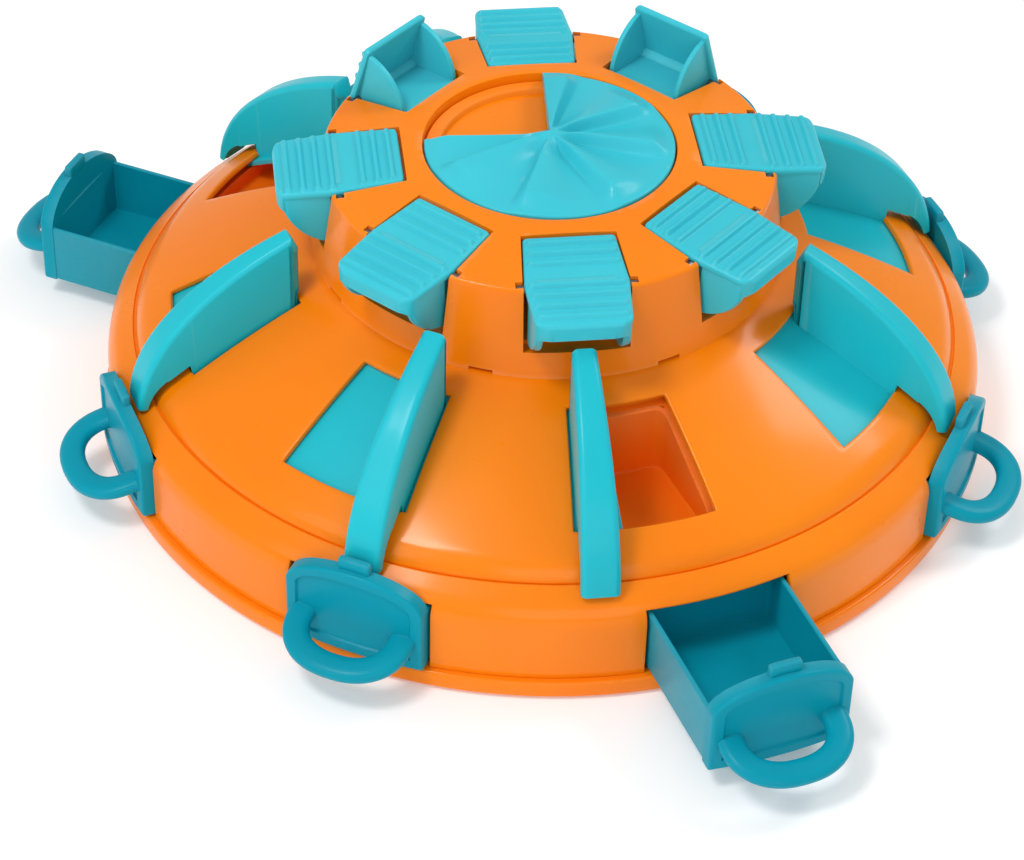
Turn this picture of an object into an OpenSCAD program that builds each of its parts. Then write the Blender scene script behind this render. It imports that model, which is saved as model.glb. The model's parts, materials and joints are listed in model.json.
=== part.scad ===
// Dog puzzle feeder: a round base with eight alike units round a centre bowl.
// Each unit has a rocking lid in the tower, a gate that slides over the dome and covers a well,
// and a drawer in the base wall. A disc with an open sector turns over the centre bowl.
// The origin is on the floor at the centre, +Z is up and the first drawer points along +X.

/* [Layout] */
// Number of units round the toy
units = 8; // [6:1:8]
// How far each lid sits round from its drawer, in degrees
lid_offset = 15; // [13:1:16]

/* [Base] */
// Diameter over the foot ring
base_d = 340; // [332:1:360]
// How far the foot ring stands out past the wall
foot_step = 2.5; // [1.5:0.5:3.5]
// Height of the top of the foot ring
foot_h = 8; // [6:0.5:8]
// Thickness of the base wall
base_wall = 2.6; // [2:0.1:3]
// Thickness of the base floor
base_floor = 2.4; // [2:0.1:3.2]
// Height at which the wall would meet the sloping shoulder
shoulder_h = 36.2; // [35:0.1:37]
// Height of the shoulder where it meets the groove round the dome
ledge_h = 43.6; // [43:0.1:45]
// Width of the shoulder, from the wall to the groove
shoulder_w = 11; // [9:0.5:12]
// Length of the rounding on each side of the shoulder edge
shoulder_round = 4; // [2:0.5:5]
// Height of the lip that the dome stands on
seat_h = 42.6; // [42:0.1:43]
// Thickness of that lip
seat_t = 2.4; // [1.6:0.1:2.6]

/* [Feet and screws] */
// Number of rubber feet, and of the screws that hold the shells together
fixings = 4; // [2:1:4]
// Diameter of a rubber foot
pad_d = 14; // [10:1:16]
// Thickness of a rubber foot
pad_t = 2.6; // [2:0.1:3]
// How far the rubber feet lift the base
pad_proud = 1; // [0.6:0.1:1.2]
// Diameter of a screw shank
screw_d = 3; // [2.5:0.1:3.5]
// Diameter of a screw head
screw_head_d = 6.4; // [5.5:0.1:7]
// Length of a screw below its head
screw_l = 28; // [24:1:30]
// Depth of plastic between a screw head and the dome
screw_seat = 15; // [12:1:18]

/* [Dome] */
// Height of the dome at the foot of the tower
dome_top_h = 79.6; // [78:0.2:81]
// Height of the dome where its rolled edge starts
dome_edge_h = 50.6; // [50:0.2:52]
// How far the dome bulges above a straight cone
dome_bulge = 1.6; // [1:0.1:2]
// Width of the rolled edge
roll_w = 6.5; // [5.5:0.1:7]
// Thickness of the dome skin
dome_t = 2.4; // [2:0.1:2.8]
// Distance from the tower to the inner edge of a well window
window_in = 10.8; // [10:0.1:12]
// Distance from the outer edge of a well window to the groove
window_out = 14; // [13.5:0.1:16]
// Angle of a well window behind the drawer's middle
window_back = 17.9; // [17:0.1:18.5]
// Angle of a well window past the drawer's middle
window_front = 3; // [2.5:0.1:4]

/* [Wells] */
// Height of the inside of a well's floor
well_floor_h = 43; // [42:0.2:46]
// Thickness of the tray's walls
well_wall = 1.8; // [1.2:0.1:2]

/* [Gates] */
// Angle that a gate slides through
gate_swing = 15; // [10:0.5:15]
// Thickness of a gate's fin, in degrees
gate_angle = 5; // [4:0.2:5.6]
// Thickness of a gate's cover plate
plate_t = 2; // [1.4:0.1:2.2]
// Angle that a cover plate overlaps its window on each side
plate_lap = 1.2; // [0.8:0.1:1.6]
// Distance that a cover plate overlaps its window at each end
plate_edge = 1.8; // [1.2:0.1:2]
// Height of a fin's underside above the dome
gate_lift = 3.5; // [2.5:0.1:4]
// Length of the ellipse that a fin's back follows
fin_sweep_l = 147; // [135:1:155]
// Height of the ellipse that a fin's back follows
fin_sweep_h = 79; // [74:1:82]
// Height of the middle of that ellipse
fin_sweep_z = 39.3; // [38:0.1:41]

/* [Tower] */
// Diameter of the foot of the tower
tower_d = 178; // [174:1:180]
// Height of the ring round the centre disc
tower_h = 119.3; // [117:0.1:121]
// Height of the tower's outer edge
crown_edge_h = 115; // [114:0.1:116]
// Height at which the outer edge starts to round over
crown_round_h = 112; // [111:0.1:113]
// How far the tower's wall leans in
tower_draft = 4.5; // [3:0.1:6]
// Thickness of the tower's walls
crown_wall = 2.4; // [1.8:0.1:2.6]
// Diameter of the opening over the bowl
mouth_d = 94; // [90:1:96]
// Width and height of a latch slit at the foot of the tower
slit = [9, 1.6];

/* [Lids] */
// Distance of a lid's hinge pin inside the foot of the tower
pivot_in = 10; // [9:0.1:11]
// Depth of a lid's hinge pin below the ring round the disc
pivot_drop = 6.3; // [5.5:0.1:7]
// Diameter of a lid's hinge pin
pin_d = 3; // [2.4:0.1:3.4]
// Diameter of a lid's hinge barrel
barrel_d = 6.8; // [6:0.1:6.8]
// Length of a lid inside its hinge
lid_in = 24; // [22.5:0.1:24.5]
// Length of a lid outside its hinge
lid_out = 23; // [22:0.1:23.5]
// Width of a lid at its inner end
lid_w_in = 33.4; // [31:0.2:35]
// Width of a lid at its hinge
lid_w = 37.4; // [36:0.2:39]
// Width of a lid at its nose
lid_w_out = 35; // [34:0.2:36]
// Thickness of a lid's top plate
lid_t = 3.2; // [2:0.1:3.2]
// Height of a lid's top above its hinge
lid_rise = 3.6; // [3.6:0.1:4.2]
// Angle by which a shut lid droops towards its nose
lid_droop = 5; // [2:0.5:6]
// Depth of the lip at a lid's nose
lip_h = 7.5; // [5:0.5:8]
// Thickness of the lip at a lid's nose
lip_t = 2.5; // [1.6:0.1:2.6]
// Radius of a lid's rounded nose corners
nose_r = 5; // [3:0.5:6]
// Radius of a lid's round side cheeks
cheek_r = 21.5; // [20:0.1:21.5]
// Thickness of a lid's cheeks and of the floor between them
cheek_t = 2; // [1.4:0.1:2.2]
// How far a cheek stands in from the edge of the lid
cheek_in = 2.6; // [2:0.1:3]
// How far the outer quarter of a cheek, which shows below a shut lid, stands in from the lid's edge
skirt_in = 1.2; // [0.8:0.1:1.8]
// Angle of a lid's floor, counted from straight outwards
floor_angle = 248; // [244:1:250]
// Angle that a lid rocks through
lid_swing = 70; // [50:1:70]
// Width and height of the ribs across a lid
rib = [2.2, 1];
// Distance from one rib to the next
rib_pitch = 5.6; // [5:0.1:6]
// Number of ribs at the inner end and at the outer end of a lid
ribs = [3, 4];
// Thickness of the walls round a lid's bay
bay_wall = 2.2; // [1.6:0.1:2.4]

/* [Bowl and disc] */
// Height of the inside of the bowl's floor
bowl_floor_h = 100; // [96:0.5:104]
// Thickness of the bowl and of its rim
bowl_t = 2; // [1.5:0.1:2.5]
// Width of the bowl's rim
bowl_rim = 4.6; // [4:0.1:5]
// How far the bowl narrows towards its floor
bowl_draft = 3.8; // [2:0.1:6]
// How far the disc's rim stands above the ring round it
disc_proud = 0.7; // [0.3:0.1:1.5]
// Thickness of the disc at its rim
disc_t = 3.2; // [2.4:0.1:3.6]
// Angle of the disc's open sector
disc_gap = 86; // [60:1:100]
// Angle at which the open sector starts
disc_start = 71.5; // [0:0.5:120]
// Number of ridges on the disc
disc_ridges = 6; // [4:1:7]
// Diameter of the disc's hub
hub_d = 20; // [16:0.5:24]
// Height of the hub above the disc's rim
hub_rise = 6; // [4:0.5:8]
// Diameter of the spindle
spindle_d = 8; // [6:0.5:9]

/* [Drawers] */
// Length that a drawer slides out
drawer_travel = 48; // [30:1:50]
// Length of a drawer's box behind its front
drawer_l = 60; // [56:0.2:64]
// Width of a drawer's box
drawer_w = 52.4; // [46:0.2:53]
// Height of a drawer's box
drawer_h = 25; // [23:0.1:26]
// Thickness of a drawer's walls
drawer_wall = 1.8; // [1.4:0.1:2.2]
// Thickness of a drawer's curved front
front_t = 5.6; // [4.5:0.1:6.5]
// How far a drawer's front sits inside the face of the wall
front_inset = 1.3; // [0.8:0.1:1.6]
// Width of a drawer's front
front_w = 52.8; // [47:0.2:53]
// Height of the straight sides of a drawer's front
front_side_h = 24; // [23:0.2:25]
// Height of the arch on top of a drawer's front
front_arch_h = 13; // [11:0.5:15]
// Width, height and thickness of the tab on top of a drawer's front
tab = [12, 4, 3.2];
// Width of the border round the sunk panel on a drawer's front
panel_border = 4.4; // [3.5:0.1:6]
// Depth of that panel
panel_depth = 1; // [0.5:0.1:1.5]
// Width of the handle, to the middle of its bar
handle_w = 38; // [36:0.5:40]
// Depth of the handle, from the front to the middle of its bar
handle_l = 15.7; // [15:0.1:18]
// Thickness of the handle's bar
handle_d = 10.4; // [8:0.2:10.6]
// Radius of the handle's corners, to the middle of its bar
handle_bend = 14.5; // [11:0.5:14.5]
// Height of the handle above the foot of a drawer's front
handle_h = 14; // [12:0.5:16]
// Angle that the handle droops by
handle_droop = 14; // [8:1:16]

/* [Hidden] */
$fn = 96;

// Rest state: the units whose lid is open, whose gate uncovers its well, and how far out drawers are
OPEN_LIDS = [2, 4];
OPEN_GATES = [4, 7];
OPEN_DRAWERS = [[4, drawer_travel - 10], [7, drawer_travel]];

// Clearances
cut_gap = 0.01;
pin_gap = 0.1;
seat_gap = 0.05;
slide_gap = 0.5;
plate_gap = 1.2;
fin_gap = 0.8;
lid_gap = 0.6;
lid_side_gap = 0.5;
cheek_gap = 0.8;
stop_gap = 0.4;
bay_step = 0.2;
barrel_gap = 0.6;
screw_gap = 0.4;
drawer_gap = 1.2;
guide_gap = 0.5;
front_gap = 0.6;
mouth_gap = 0.6;
disc_lift = 0.8;
tip_gap = 2.5;
groove_w = 0.8;
tray_gap = 0.2;
far = 400;

pitch = 360 / units;
base_r = base_d / 2;
wall_r = base_r - foot_step;
groove_r = wall_r - shoulder_w;
dome_edge_r = groove_r - roll_w;
tower_r = tower_d / 2;
window_r0 = tower_r + window_in;
window_r1 = groove_r - window_out;
floor_top = pad_proud + base_floor;

// Points along a circle round c, from angle a0 to a1
function arc(c, r, a0, a1, n = 12) =
    [for (k = [0:n]) c + r * [cos(a0 + (a1 - a0) * k / n), sin(a0 + (a1 - a0) * k / n)]];

// Points along a curve that leaves a towards m and reaches b from m
function bend(a, m, b, n = 8) =
    [for (k = [0:n]) (1 - k / n) ^ 2 * a + 2 * (k / n) * (1 - k / n) * m + (k / n) ^ 2 * b];

// Where the line through p at angle a meets the line through q at angle b
function meet(p, a, q, b) =
    p + [cos(a), sin(a)] * ((q.x - p.x) * sin(b) - (q.y - p.y) * cos(b)) / sin(b - a);

function backwards(path) = [for (k = [len(path) - 1:-1:0]) path[k]];

function mirrored(path) = concat(path, [for (p = backwards(path)) [-p.x, p.y]]);

function mirrored_y(path) = concat(path, [for (p = backwards(path)) [p.x, -p.y]]);

function listed(i, list) = len([for (v = list) if (v == i) v]) > 0;

function drawer_out(i) = max([0, for (d = OPEN_DRAWERS) if (d[0] == i) d[1]]);

// The dome's outer surface: a line from the tower to the rolled edge with a slight bulge
function dome_share(r) = (r - tower_r) / (dome_edge_r - tower_r);
function dome_h(r) =
    dome_top_h + (dome_edge_h - dome_top_h) * dome_share(r)
    + 4 * dome_bulge * dome_share(r) * (1 - dome_share(r));
function dome_line(r0, r1, drop, n = 12) =
    [for (k = [0:n]) [r0 + (r1 - r0) * k / n, dome_h(r0 + (r1 - r0) * k / n) - drop]];
dome_slope = atan((dome_edge_h - dome_top_h - 4 * dome_bulge) / (dome_edge_r - tower_r));
roll_slope = -75;

// The rolled edge of the dome, moved in by an amount
function roll_start(inset) = [dome_edge_r, dome_edge_h] + inset * [sin(dome_slope), -cos(dome_slope)];
function roll_end(inset) = [groove_r + inset / sin(roll_slope), seat_h];
function roll(inset) =
    bend(roll_start(inset), meet(roll_start(inset), dome_slope, roll_end(inset), roll_slope),
        roll_end(inset));

module at_units(offset = 0, count = units) {
    for (k = [0:count - 1]) rotate([0, 0, k * 360 / count + offset]) children();
}

// A profile in the plane of X and Z, as wide as w along Y
module slab(w) {
    rotate([90, 0, 0]) linear_extrude(w, center = true) children();
}

// A sector turned round Z from angle a0 to a1
module sector(a0, a1) {
    rotate_extrude(angle = a1 - a0, start = a0) children();
}

// ---- Base ----

ledge_r = groove_r + groove_w;
shoulder_slope = atan((ledge_h - shoulder_h) / (wall_r - ledge_r));
shoulder_edge = [wall_r, shoulder_h];
lip_in_r = window_r1 + slide_gap + well_wall + 0.5;
inner_edge = [wall_r - base_wall, shoulder_h - base_wall * tan((90 - shoulder_slope) / 2)];

boss_wall = 3.1;
post_wall = 2;
screw_boss_d = screw_d + 2 * boss_wall;
post_r = tower_r - crown_wall - screw_boss_d / 2;
post_d = screw_head_d + 2 * post_wall;
screw_head_t = 2.4;
shelf_under = dome_top_h - dome_t;
screw_top = shelf_under - screw_seat;
fixing_angle = pitch / 2 - lid_offset;
pad_r = groove_r - pad_d / 2;

drawer_z = foot_h + drawer_gap;
front_r = wall_r - front_inset;
drawer_in = front_r - drawer_l;
opening_w = drawer_w + 2 * drawer_gap;
opening_top = drawer_z + drawer_h + drawer_gap;

rail_w = 2.4;
rail_out = 5;
rail_in = 6.3;
guide_h = 2;

// What carries one drawer: two rails under it, two guides beside it and a stop behind it
module drawer_rails() {
    rail_l = wall_r - base_wall - rail_out - drawer_in;
    rail_y = drawer_w / 2 - rail_in;
    guide_y = drawer_w / 2 + guide_gap;
    rail_z = floor_top - cut_gap;
    for (side = [0, 1]) mirror([0, side, 0]) {
        translate([drawer_in, rail_y, rail_z]) cube([rail_l, rail_w, drawer_z - rail_z]);
        translate([drawer_in, guide_y, rail_z]) cube([rail_l, rail_w, drawer_z + guide_h - rail_z]);
    }
    translate([drawer_in - rail_w - guide_gap, -rail_y, rail_z])
        cube([rail_w, 2 * rail_y, drawer_z + guide_h - rail_z]);
}

// The opening that a drawer's box slides through, and the recess that its front sits in
module drawer_opening() {
    translate([drawer_in + drawer_l / 2, -opening_w / 2, foot_h - 1])
        cube([far, opening_w, opening_top - foot_h + 1]);
    intersection() {
        translate([0, -opening_w / 2, foot_h - 1]) cube([far, opening_w, far]);
        rotate_extrude() translate([front_r - front_gap, 0]) square([far, far]);
    }
}

module at_feet() {
    children();
    at_units(pitch / 2, fixings) translate([pad_r, 0, 0]) children();
}

module base_pan() {
    color("darkorange") difference() {
        union() {
            rotate_extrude() polygon([
                [0, pad_proud], [base_r - 1, pad_proud], [base_r, pad_proud + 1], [base_r, foot_h - 1],
                [base_r - 1, foot_h], [wall_r - base_wall, foot_h], [wall_r - base_wall, floor_top],
                [0, floor_top]]);
            at_units() drawer_rails();
            at_units(fixing_angle, fixings) translate([post_r, 0, pad_proud])
                cylinder(h = shelf_under - pad_proud, d = post_d);
            at_feet() translate([0, 0, pad_proud])
                cylinder(h = pad_t + base_floor, d = pad_d + 2 * post_wall);
        }
        at_units(fixing_angle, fixings) translate([post_r, 0, 0]) {
            cylinder(h = screw_top, d = screw_head_d + 2 * screw_gap);
            cylinder(h = far, d = screw_d + 2 * screw_gap);
        }
        at_feet() cylinder(h = pad_t, d = pad_d + 2 * seat_gap);
    }
}

module base_wall() {
    color("darkorange") difference() {
        rotate_extrude() polygon(concat(
            [[wall_r - base_wall, foot_h], [wall_r, foot_h]],
            bend(shoulder_edge - [0, shoulder_round], shoulder_edge,
                shoulder_edge + shoulder_round * [-cos(shoulder_slope), sin(shoulder_slope)]),
            [[ledge_r, ledge_h], [ledge_r, seat_h], [lip_in_r, seat_h], [lip_in_r, seat_h - seat_t],
             meet([0, seat_h - seat_t], 0, inner_edge, 180 - shoulder_slope), inner_edge]));
        at_units() drawer_opening();
    }
}

module foot_shape() {
    color("dimgray") cylinder(h = pad_t, d = pad_d);
}

module rubber_foot(i) {
    rotate([0, 0, pitch / 2 + (i - 1) * 360 / fixings]) translate([pad_r, 0, 0]) foot_shape();
}

module screw(i) {
    recess_w = 1;
    color("silver") rotate([0, 0, fixing_angle + (i - 1) * 360 / fixings])
        translate([post_r, 0, screw_top]) difference() {
            union() {
                cylinder(h = screw_l, d = screw_d);
                translate([0, 0, -screw_head_t]) cylinder(h = screw_head_t, d = screw_head_d);
            }
            for (turn = [0, 90]) rotate([0, 0, turn])
                translate([-screw_head_d / 4, -recess_w / 2, -screw_head_t - 1])
                    cube([screw_head_d / 2, recess_w, 2.2]);
        }
}

// ---- Dome ----

shelf_edge = 1;
shelf_r = post_r - screw_boss_d / 2 - shelf_edge;

module dome_cover() {
    color("darkorange") difference() {
        rotate_extrude() polygon(concat(
            [[shelf_r, dome_top_h]], dome_line(tower_r, dome_edge_r, 0), roll(0),
            backwards(roll(dome_t)), backwards(dome_line(tower_r, roll_start(dome_t).x, dome_t)),
            [[shelf_r, shelf_under]]));
        at_units() sector(-window_back, window_front) translate([window_r0, 0])
            square([window_r1 - window_r0, far]);
        at_units(fixing_angle, fixings) translate([post_r, 0, 0]) cylinder(h = far, d = screw_d + 2 * screw_gap);
    }
}

// ---- Wells ----

well_in = 0.7;
tray_drop = dome_t + plate_t + 2 * slide_gap;
well_r0 = window_r0 + well_in;
well_r1 = window_r1 - well_in;
well_a0 = -window_back + 0.5;
well_a1 = window_front - 0.6;
plate_r0 = window_r0 - plate_edge;
plate_r1 = window_r1 + plate_edge;
ring_in = [tower_r + 3, plate_r0 - plate_gap];
ring_out = [plate_r1 + plate_gap, roll_start(dome_t).x - tray_gap];
tray_mid = (well_a0 + well_a1) / 2;
tray_half = pitch / 2 - tray_gap;

// The block of a well, grown on its sides and its floor
module well_block(grow) {
    side = grow / well_r0 * 180 / PI;
    sector(well_a0 - side, well_a1 + side) polygon(concat(
        [[well_r0 - grow, well_floor_h - grow], [well_r1 + grow, well_floor_h - grow]],
        backwards(dome_line(well_r0 - grow, well_r1 + grow, tray_drop + well_wall / 2))));
}

// One unit's tray: it stands on the base's lip, lies under the dome and leaves a slot for the gate
module well_tray(i) {
    ring_drop = dome_t + seat_gap;
    color("darkorange") rotate([0, 0, (i - 1) * pitch]) difference() {
        union() {
            sector(tray_mid - tray_half, tray_mid + tray_half) polygon(concat(
                dome_line(ring_in[0], ring_in[1], ring_drop, 2),
                dome_line(ring_in[1], ring_out[0], tray_drop),
                dome_line(ring_out[0], ring_out[1], ring_drop, 2),
                [[ring_out[1], seat_h], [ring_out[0], seat_h]],
                backwards(dome_line(ring_in[0], ring_out[0], tray_drop + well_wall))));
            well_block(well_wall);
        }
        sector(well_a0, well_a1) translate([well_r0, well_floor_h]) square([well_r1 - well_r0, far]);
    }
}

// ---- Gates ----

fin_tip_r = front_r - tip_gap;
fin_mid_r = fin_tip_r - fin_sweep_l;
function fin_back(r) = fin_sweep_z + fin_sweep_h * sqrt(1 - ((r - fin_mid_r) / fin_sweep_l) ^ 2);
fin_in_r = window_r0 - plate_gap;
fin_foot_r = [window_r0 + fin_gap, window_r1 - fin_gap];
fin_tip_a = asin((seat_h - fin_sweep_z) / fin_sweep_h);
fin_top_a = acos((fin_in_r - fin_mid_r) / fin_sweep_l);
plate_mid = dome_t + slide_gap + plate_t / 2;

// The side view of a fin: a sickle that follows the dome below and an ellipse above
module fin_profile() {
    difference() {
        polygon(concat(
            [[fin_foot_r[0], dome_h(fin_foot_r[0]) - plate_mid],
             [fin_foot_r[0], dome_h(fin_foot_r[0]) + gate_lift],
             [fin_in_r, dome_h(fin_in_r) + gate_lift]],
            [for (k = [0:16]) let (a = fin_top_a + (fin_tip_a - fin_top_a) * k / 16)
                [fin_mid_r + fin_sweep_l * cos(a), fin_sweep_z + fin_sweep_h * sin(a)]],
            backwards(roll(-gate_lift)),
            [[fin_foot_r[1], dome_h(fin_foot_r[1]) + gate_lift],
             [fin_foot_r[1], dome_h(fin_foot_r[1]) - plate_mid]],
            backwards(dome_line(fin_foot_r[0], fin_foot_r[1], plate_mid))));
        translate([pivot_r, pivot_h]) circle(r = lid_reach + 2 * lid_gap);
    }
}

module gate(i) {
    turn = (i - 1) * pitch - (listed(i, OPEN_GATES) ? gate_swing : 0);
    color("mediumturquoise") rotate([0, 0, turn]) {
        sector(-gate_angle / 2, gate_angle / 2) fin_profile();
        sector(-window_back - plate_lap, window_front + plate_lap) polygon(concat(
            dome_line(plate_r0, plate_r1, dome_t + slide_gap),
            backwards(dome_line(plate_r0, plate_r1, dome_t + slide_gap + plate_t))));
    }
}

// ---- Lids ----

pivot_r = tower_r - pivot_in;
pivot_h = tower_h - pivot_drop;
lid_reach = norm([lid_out, max(lid_rise, lip_h - lid_rise)]);
cheek_y = lid_w_in / 2 - cheek_in + cheek_t / 2;
lid_under = lid_rise - lid_t;
skirt_a = 80;
skirt_r = cheek_r - 0.4;
rib_in = [4, 5.5];

// The plan of a lid: widest at its hinge and rounded at its nose
module lid_plan() {
    polygon(mirrored_y(concat(
        [[-lid_in, lid_w_in / 2], [0, lid_w / 2]],
        arc([lid_out - nose_r, lid_w_out / 2 - nose_r], nose_r, 90, 0, 6))));
}

module lid_rib(x) {
    rib_l = lid_w_in - 4;
    translate([x - rib[0] / 2, -rib_l / 2, lid_rise - cut_gap]) cube([rib[0], rib_l, rib[1] + cut_gap]);
}

// The outer quarters of the cheeks, brought out to the lid's edge
module skirts() {
    inner_y = cheek_y - cheek_t / 2;
    skirt_t = lid_w / 2 - skirt_in - inner_y;
    for (side = [-1, 1]) translate([0, side * (inner_y + skirt_t / 2), 0]) slab(skirt_t)
        polygon(concat([[0, 0]], arc([0, 0], skirt_r, -skirt_a, 0), [[skirt_r, lid_under], [0, lid_under]]));
}

// The plate of a lid with its ribs, and the lip and the skirts below its outer half
module lid_plate() {
    translate([0, 0, lid_under]) linear_extrude(lid_t) lid_plan();
    intersection() {
        union() {
            slab(far) translate([lid_out - lip_t, lid_rise - lip_h]) square([lip_t, lip_h]);
            skirts();
        }
        translate([0, 0, -far / 2]) linear_extrude(far / 2 + lid_rise - lid_t / 2) lid_plan();
    }
    for (k = [0:ribs[0] - 1]) lid_rib(-lid_in + rib_in[0] + k * rib_pitch);
    for (k = [0:ribs[1] - 1]) lid_rib(lid_out - rib_in[1] - k * rib_pitch);
}

module lid_shape() {
    difference() {
        union() {
            rotate([0, lid_droop, 0]) lid_plate();
            intersection() {
                for (side = [-1, 1]) translate([0, side * cheek_y, 0]) slab(cheek_t) circle(r = cheek_r);
                rotate([0, lid_droop, 0]) translate([-far / 2, -far / 2, lid_under - far + lid_t / 2])
                    cube(far);
            }
            slab(2 * cheek_y) circle(d = barrel_d);
            rotate([0, -floor_angle, 0]) translate([0, -cheek_y, -cheek_t / 2])
                cube([cheek_r, 2 * cheek_y, cheek_t]);
        }
        slab(far) circle(d = pin_d + 2 * pin_gap);
    }
}

function lid_angle(i) = (i - 1) * pitch - lid_offset;

module lid(i) {
    color("mediumturquoise") rotate([0, 0, lid_angle(i)]) translate([pivot_r, 0, pivot_h])
        rotate([0, listed(i, OPEN_LIDS) ? lid_swing : 0, 0]) lid_shape();
}

module hinge_pin(i) {
    color("silver") rotate([0, 0, lid_angle(i)]) translate([pivot_r, 0, pivot_h])
        slab(lid_w + 2 * lid_side_gap + 2 * bay_wall) circle(d = pin_d);
}

// ---- Tower ----

mouth_r = mouth_d / 2;
crown_edge_r = tower_r - tower_draft - 2;
rim_in_r = mouth_r - mouth_gap - bowl_rim + 1.4;
disc_z = tower_h + disc_proud - disc_t;
bowl_top_h = disc_z - disc_lift;
ledge_top = bowl_top_h - bowl_t;

// The outer surface of the tower, moved in by the wall's thickness
function crown_side(t) = [
    [tower_r - t, dome_top_h],
    [tower_r - tower_draft - t, crown_round_h - t / 2]];
function crown_top(t) = bend(crown_side(t)[1], [tower_r - tower_draft - t, crown_edge_h + 0.2 - t],
    [crown_edge_r - t / 2, crown_edge_h - t], 4);

module crown_solid() {
    rotate_extrude() polygon(concat(
        [[mouth_r + 1, dome_top_h]], crown_side(0), crown_top(0), [[mouth_r + 1, tower_h]]));
}

module crown_skin() {
    rotate_extrude() polygon(concat(
        crown_side(0), crown_top(0),
        [[mouth_r, tower_h], [mouth_r, ledge_top], [rim_in_r, ledge_top],
         [rim_in_r, ledge_top - crown_wall], [mouth_r + crown_wall, ledge_top - crown_wall],
         [mouth_r + crown_wall, tower_h - crown_wall]],
        backwards(crown_top(crown_wall)), [crown_side(crown_wall)[0]]));
}

// The plan of a lid's bay: like the lid's inside its hinge, straight outwards, grown by an amount
module bay_plan(grow) {
    polygon(mirrored_y([
        [-lid_in - grow, lid_w_in / 2 + grow], [0, lid_w / 2 + grow], [far / 4, lid_w / 2 + grow]]));
}

// The space that a lid rocks in: a round trough with a wider outer half, open at the top
module bay_space(grow) {
    in_r = cheek_r + cheek_gap + grow;
    out_r = lid_reach + lid_gap + grow;
    ledge = lid_under + cheek_r * sin(lid_droop) - stop_gap - grow;
    side_r = in_r - bay_step;
    slab(lid_w + 2 * lid_side_gap + 2 * grow) intersection() {
        circle(r = in_r);
        translate([-far, -far + grow]) square([2 * far, far]);
    }
    intersection() {
        slab(far) polygon(concat(
            [[far / 4, far / 4], [-lid_in - lid_gap - grow, far / 4], [-lid_in - lid_gap - grow, ledge]],
            arc([0, 0], side_r, 180 - asin(ledge / side_r), 270),
            arc([0, 0], out_r, 270, 300, 6),
            [[far / 4, -out_r * sin(60)]]));
        translate([0, 0, -far / 2]) linear_extrude(far) bay_plan(lid_side_gap + grow);
    }
}

// The block under a lid: one side stops its floor when it is shut, the other its plate when it is open
module lid_stop() {
    in_r = barrel_d / 2 + barrel_gap;
    mid_r = lid_out - lip_t - stop_gap;
    out_r = cheek_r + cheek_gap + bay_wall / 2;
    side_gap = cheek_t / 2 + cheek_gap;
    open_a = 360 - lid_droop - lid_swing;
    lip_a = open_a - asin((lip_h - lid_rise + stop_gap) / mid_r);
    function shut_side(r) = floor_angle + asin((cheek_t / 2 + stop_gap) / r);
    function open_side(r) = open_a + asin((lid_under - stop_gap) / r);
    slab(2 * (cheek_y - side_gap)) polygon(concat(
        arc([0, 0], in_r, shut_side(in_r), open_side(in_r), 3),
        arc([0, 0], mid_r, open_side(mid_r), lip_a, 4), arc([0, 0], out_r, lip_a, shut_side(out_r), 4)));
}

module at_lids() {
    for (i = [1:units]) rotate([0, 0, lid_angle(i)]) translate([pivot_r, 0, pivot_h]) children();
}

module tower_crown() {
    boss_h = screw_l - screw_seat - dome_t + 3;
    color("darkorange") difference() {
        union() {
            difference() {
                union() {
                    crown_skin();
                    intersection() {
                        crown_solid();
                        at_lids() bay_space(bay_wall);
                    }
                }
                at_lids() bay_space(0);
            }
            at_lids() lid_stop();
            at_units(fixing_angle, fixings) translate([post_r, 0, dome_top_h])
                cylinder(h = boss_h, d = screw_boss_d);
        }
        at_lids() slab(lid_w + 2 * lid_side_gap + 2 * bay_wall) circle(d = pin_d + 2 * seat_gap);
        at_units(fixing_angle, fixings) translate([post_r, 0, 0])
            cylinder(h = dome_top_h + boss_h - 2, d = screw_d + 2 * seat_gap);
        at_units(fixing_angle) translate([tower_r - crown_wall - 0.4, -slit[0] / 2, dome_top_h - 1])
            cube([crown_wall + 2, slit[0], slit[1] + 1]);
    }
}

// ---- Bowl, disc and spindle ----

bowl_r = mouth_r - mouth_gap;
bowl_wall_r = rim_in_r - 0.4;
boss_d = spindle_d + 6;
hub_top = disc_z + disc_t + hub_rise;
spindle_top = hub_top - 3.2;

module centre_bowl() {
    color("darkorange") rotate_extrude() polygon([
        [spindle_d / 2 + seat_gap, bowl_floor_h - bowl_t], [bowl_wall_r - bowl_draft, bowl_floor_h - bowl_t],
        [bowl_wall_r, ledge_top], [bowl_r, ledge_top], [bowl_r, bowl_top_h],
        [bowl_wall_r - bowl_t, bowl_top_h], [bowl_wall_r - bowl_t - bowl_draft, bowl_floor_h],
        [boss_d / 2, bowl_floor_h], [boss_d / 2, bowl_top_h], [spindle_d / 2 + seat_gap, bowl_top_h]]);
}

module spindle() {
    head_t = 2;
    color("silver") rotate_extrude() polygon([
        [0, bowl_floor_h - bowl_t - head_t], [boss_d / 2, bowl_floor_h - bowl_t - head_t],
        [boss_d / 2, bowl_floor_h - bowl_t], [spindle_d / 2, bowl_floor_h - bowl_t],
        [spindle_d / 2, spindle_top], [0, spindle_top]]);
}

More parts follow.
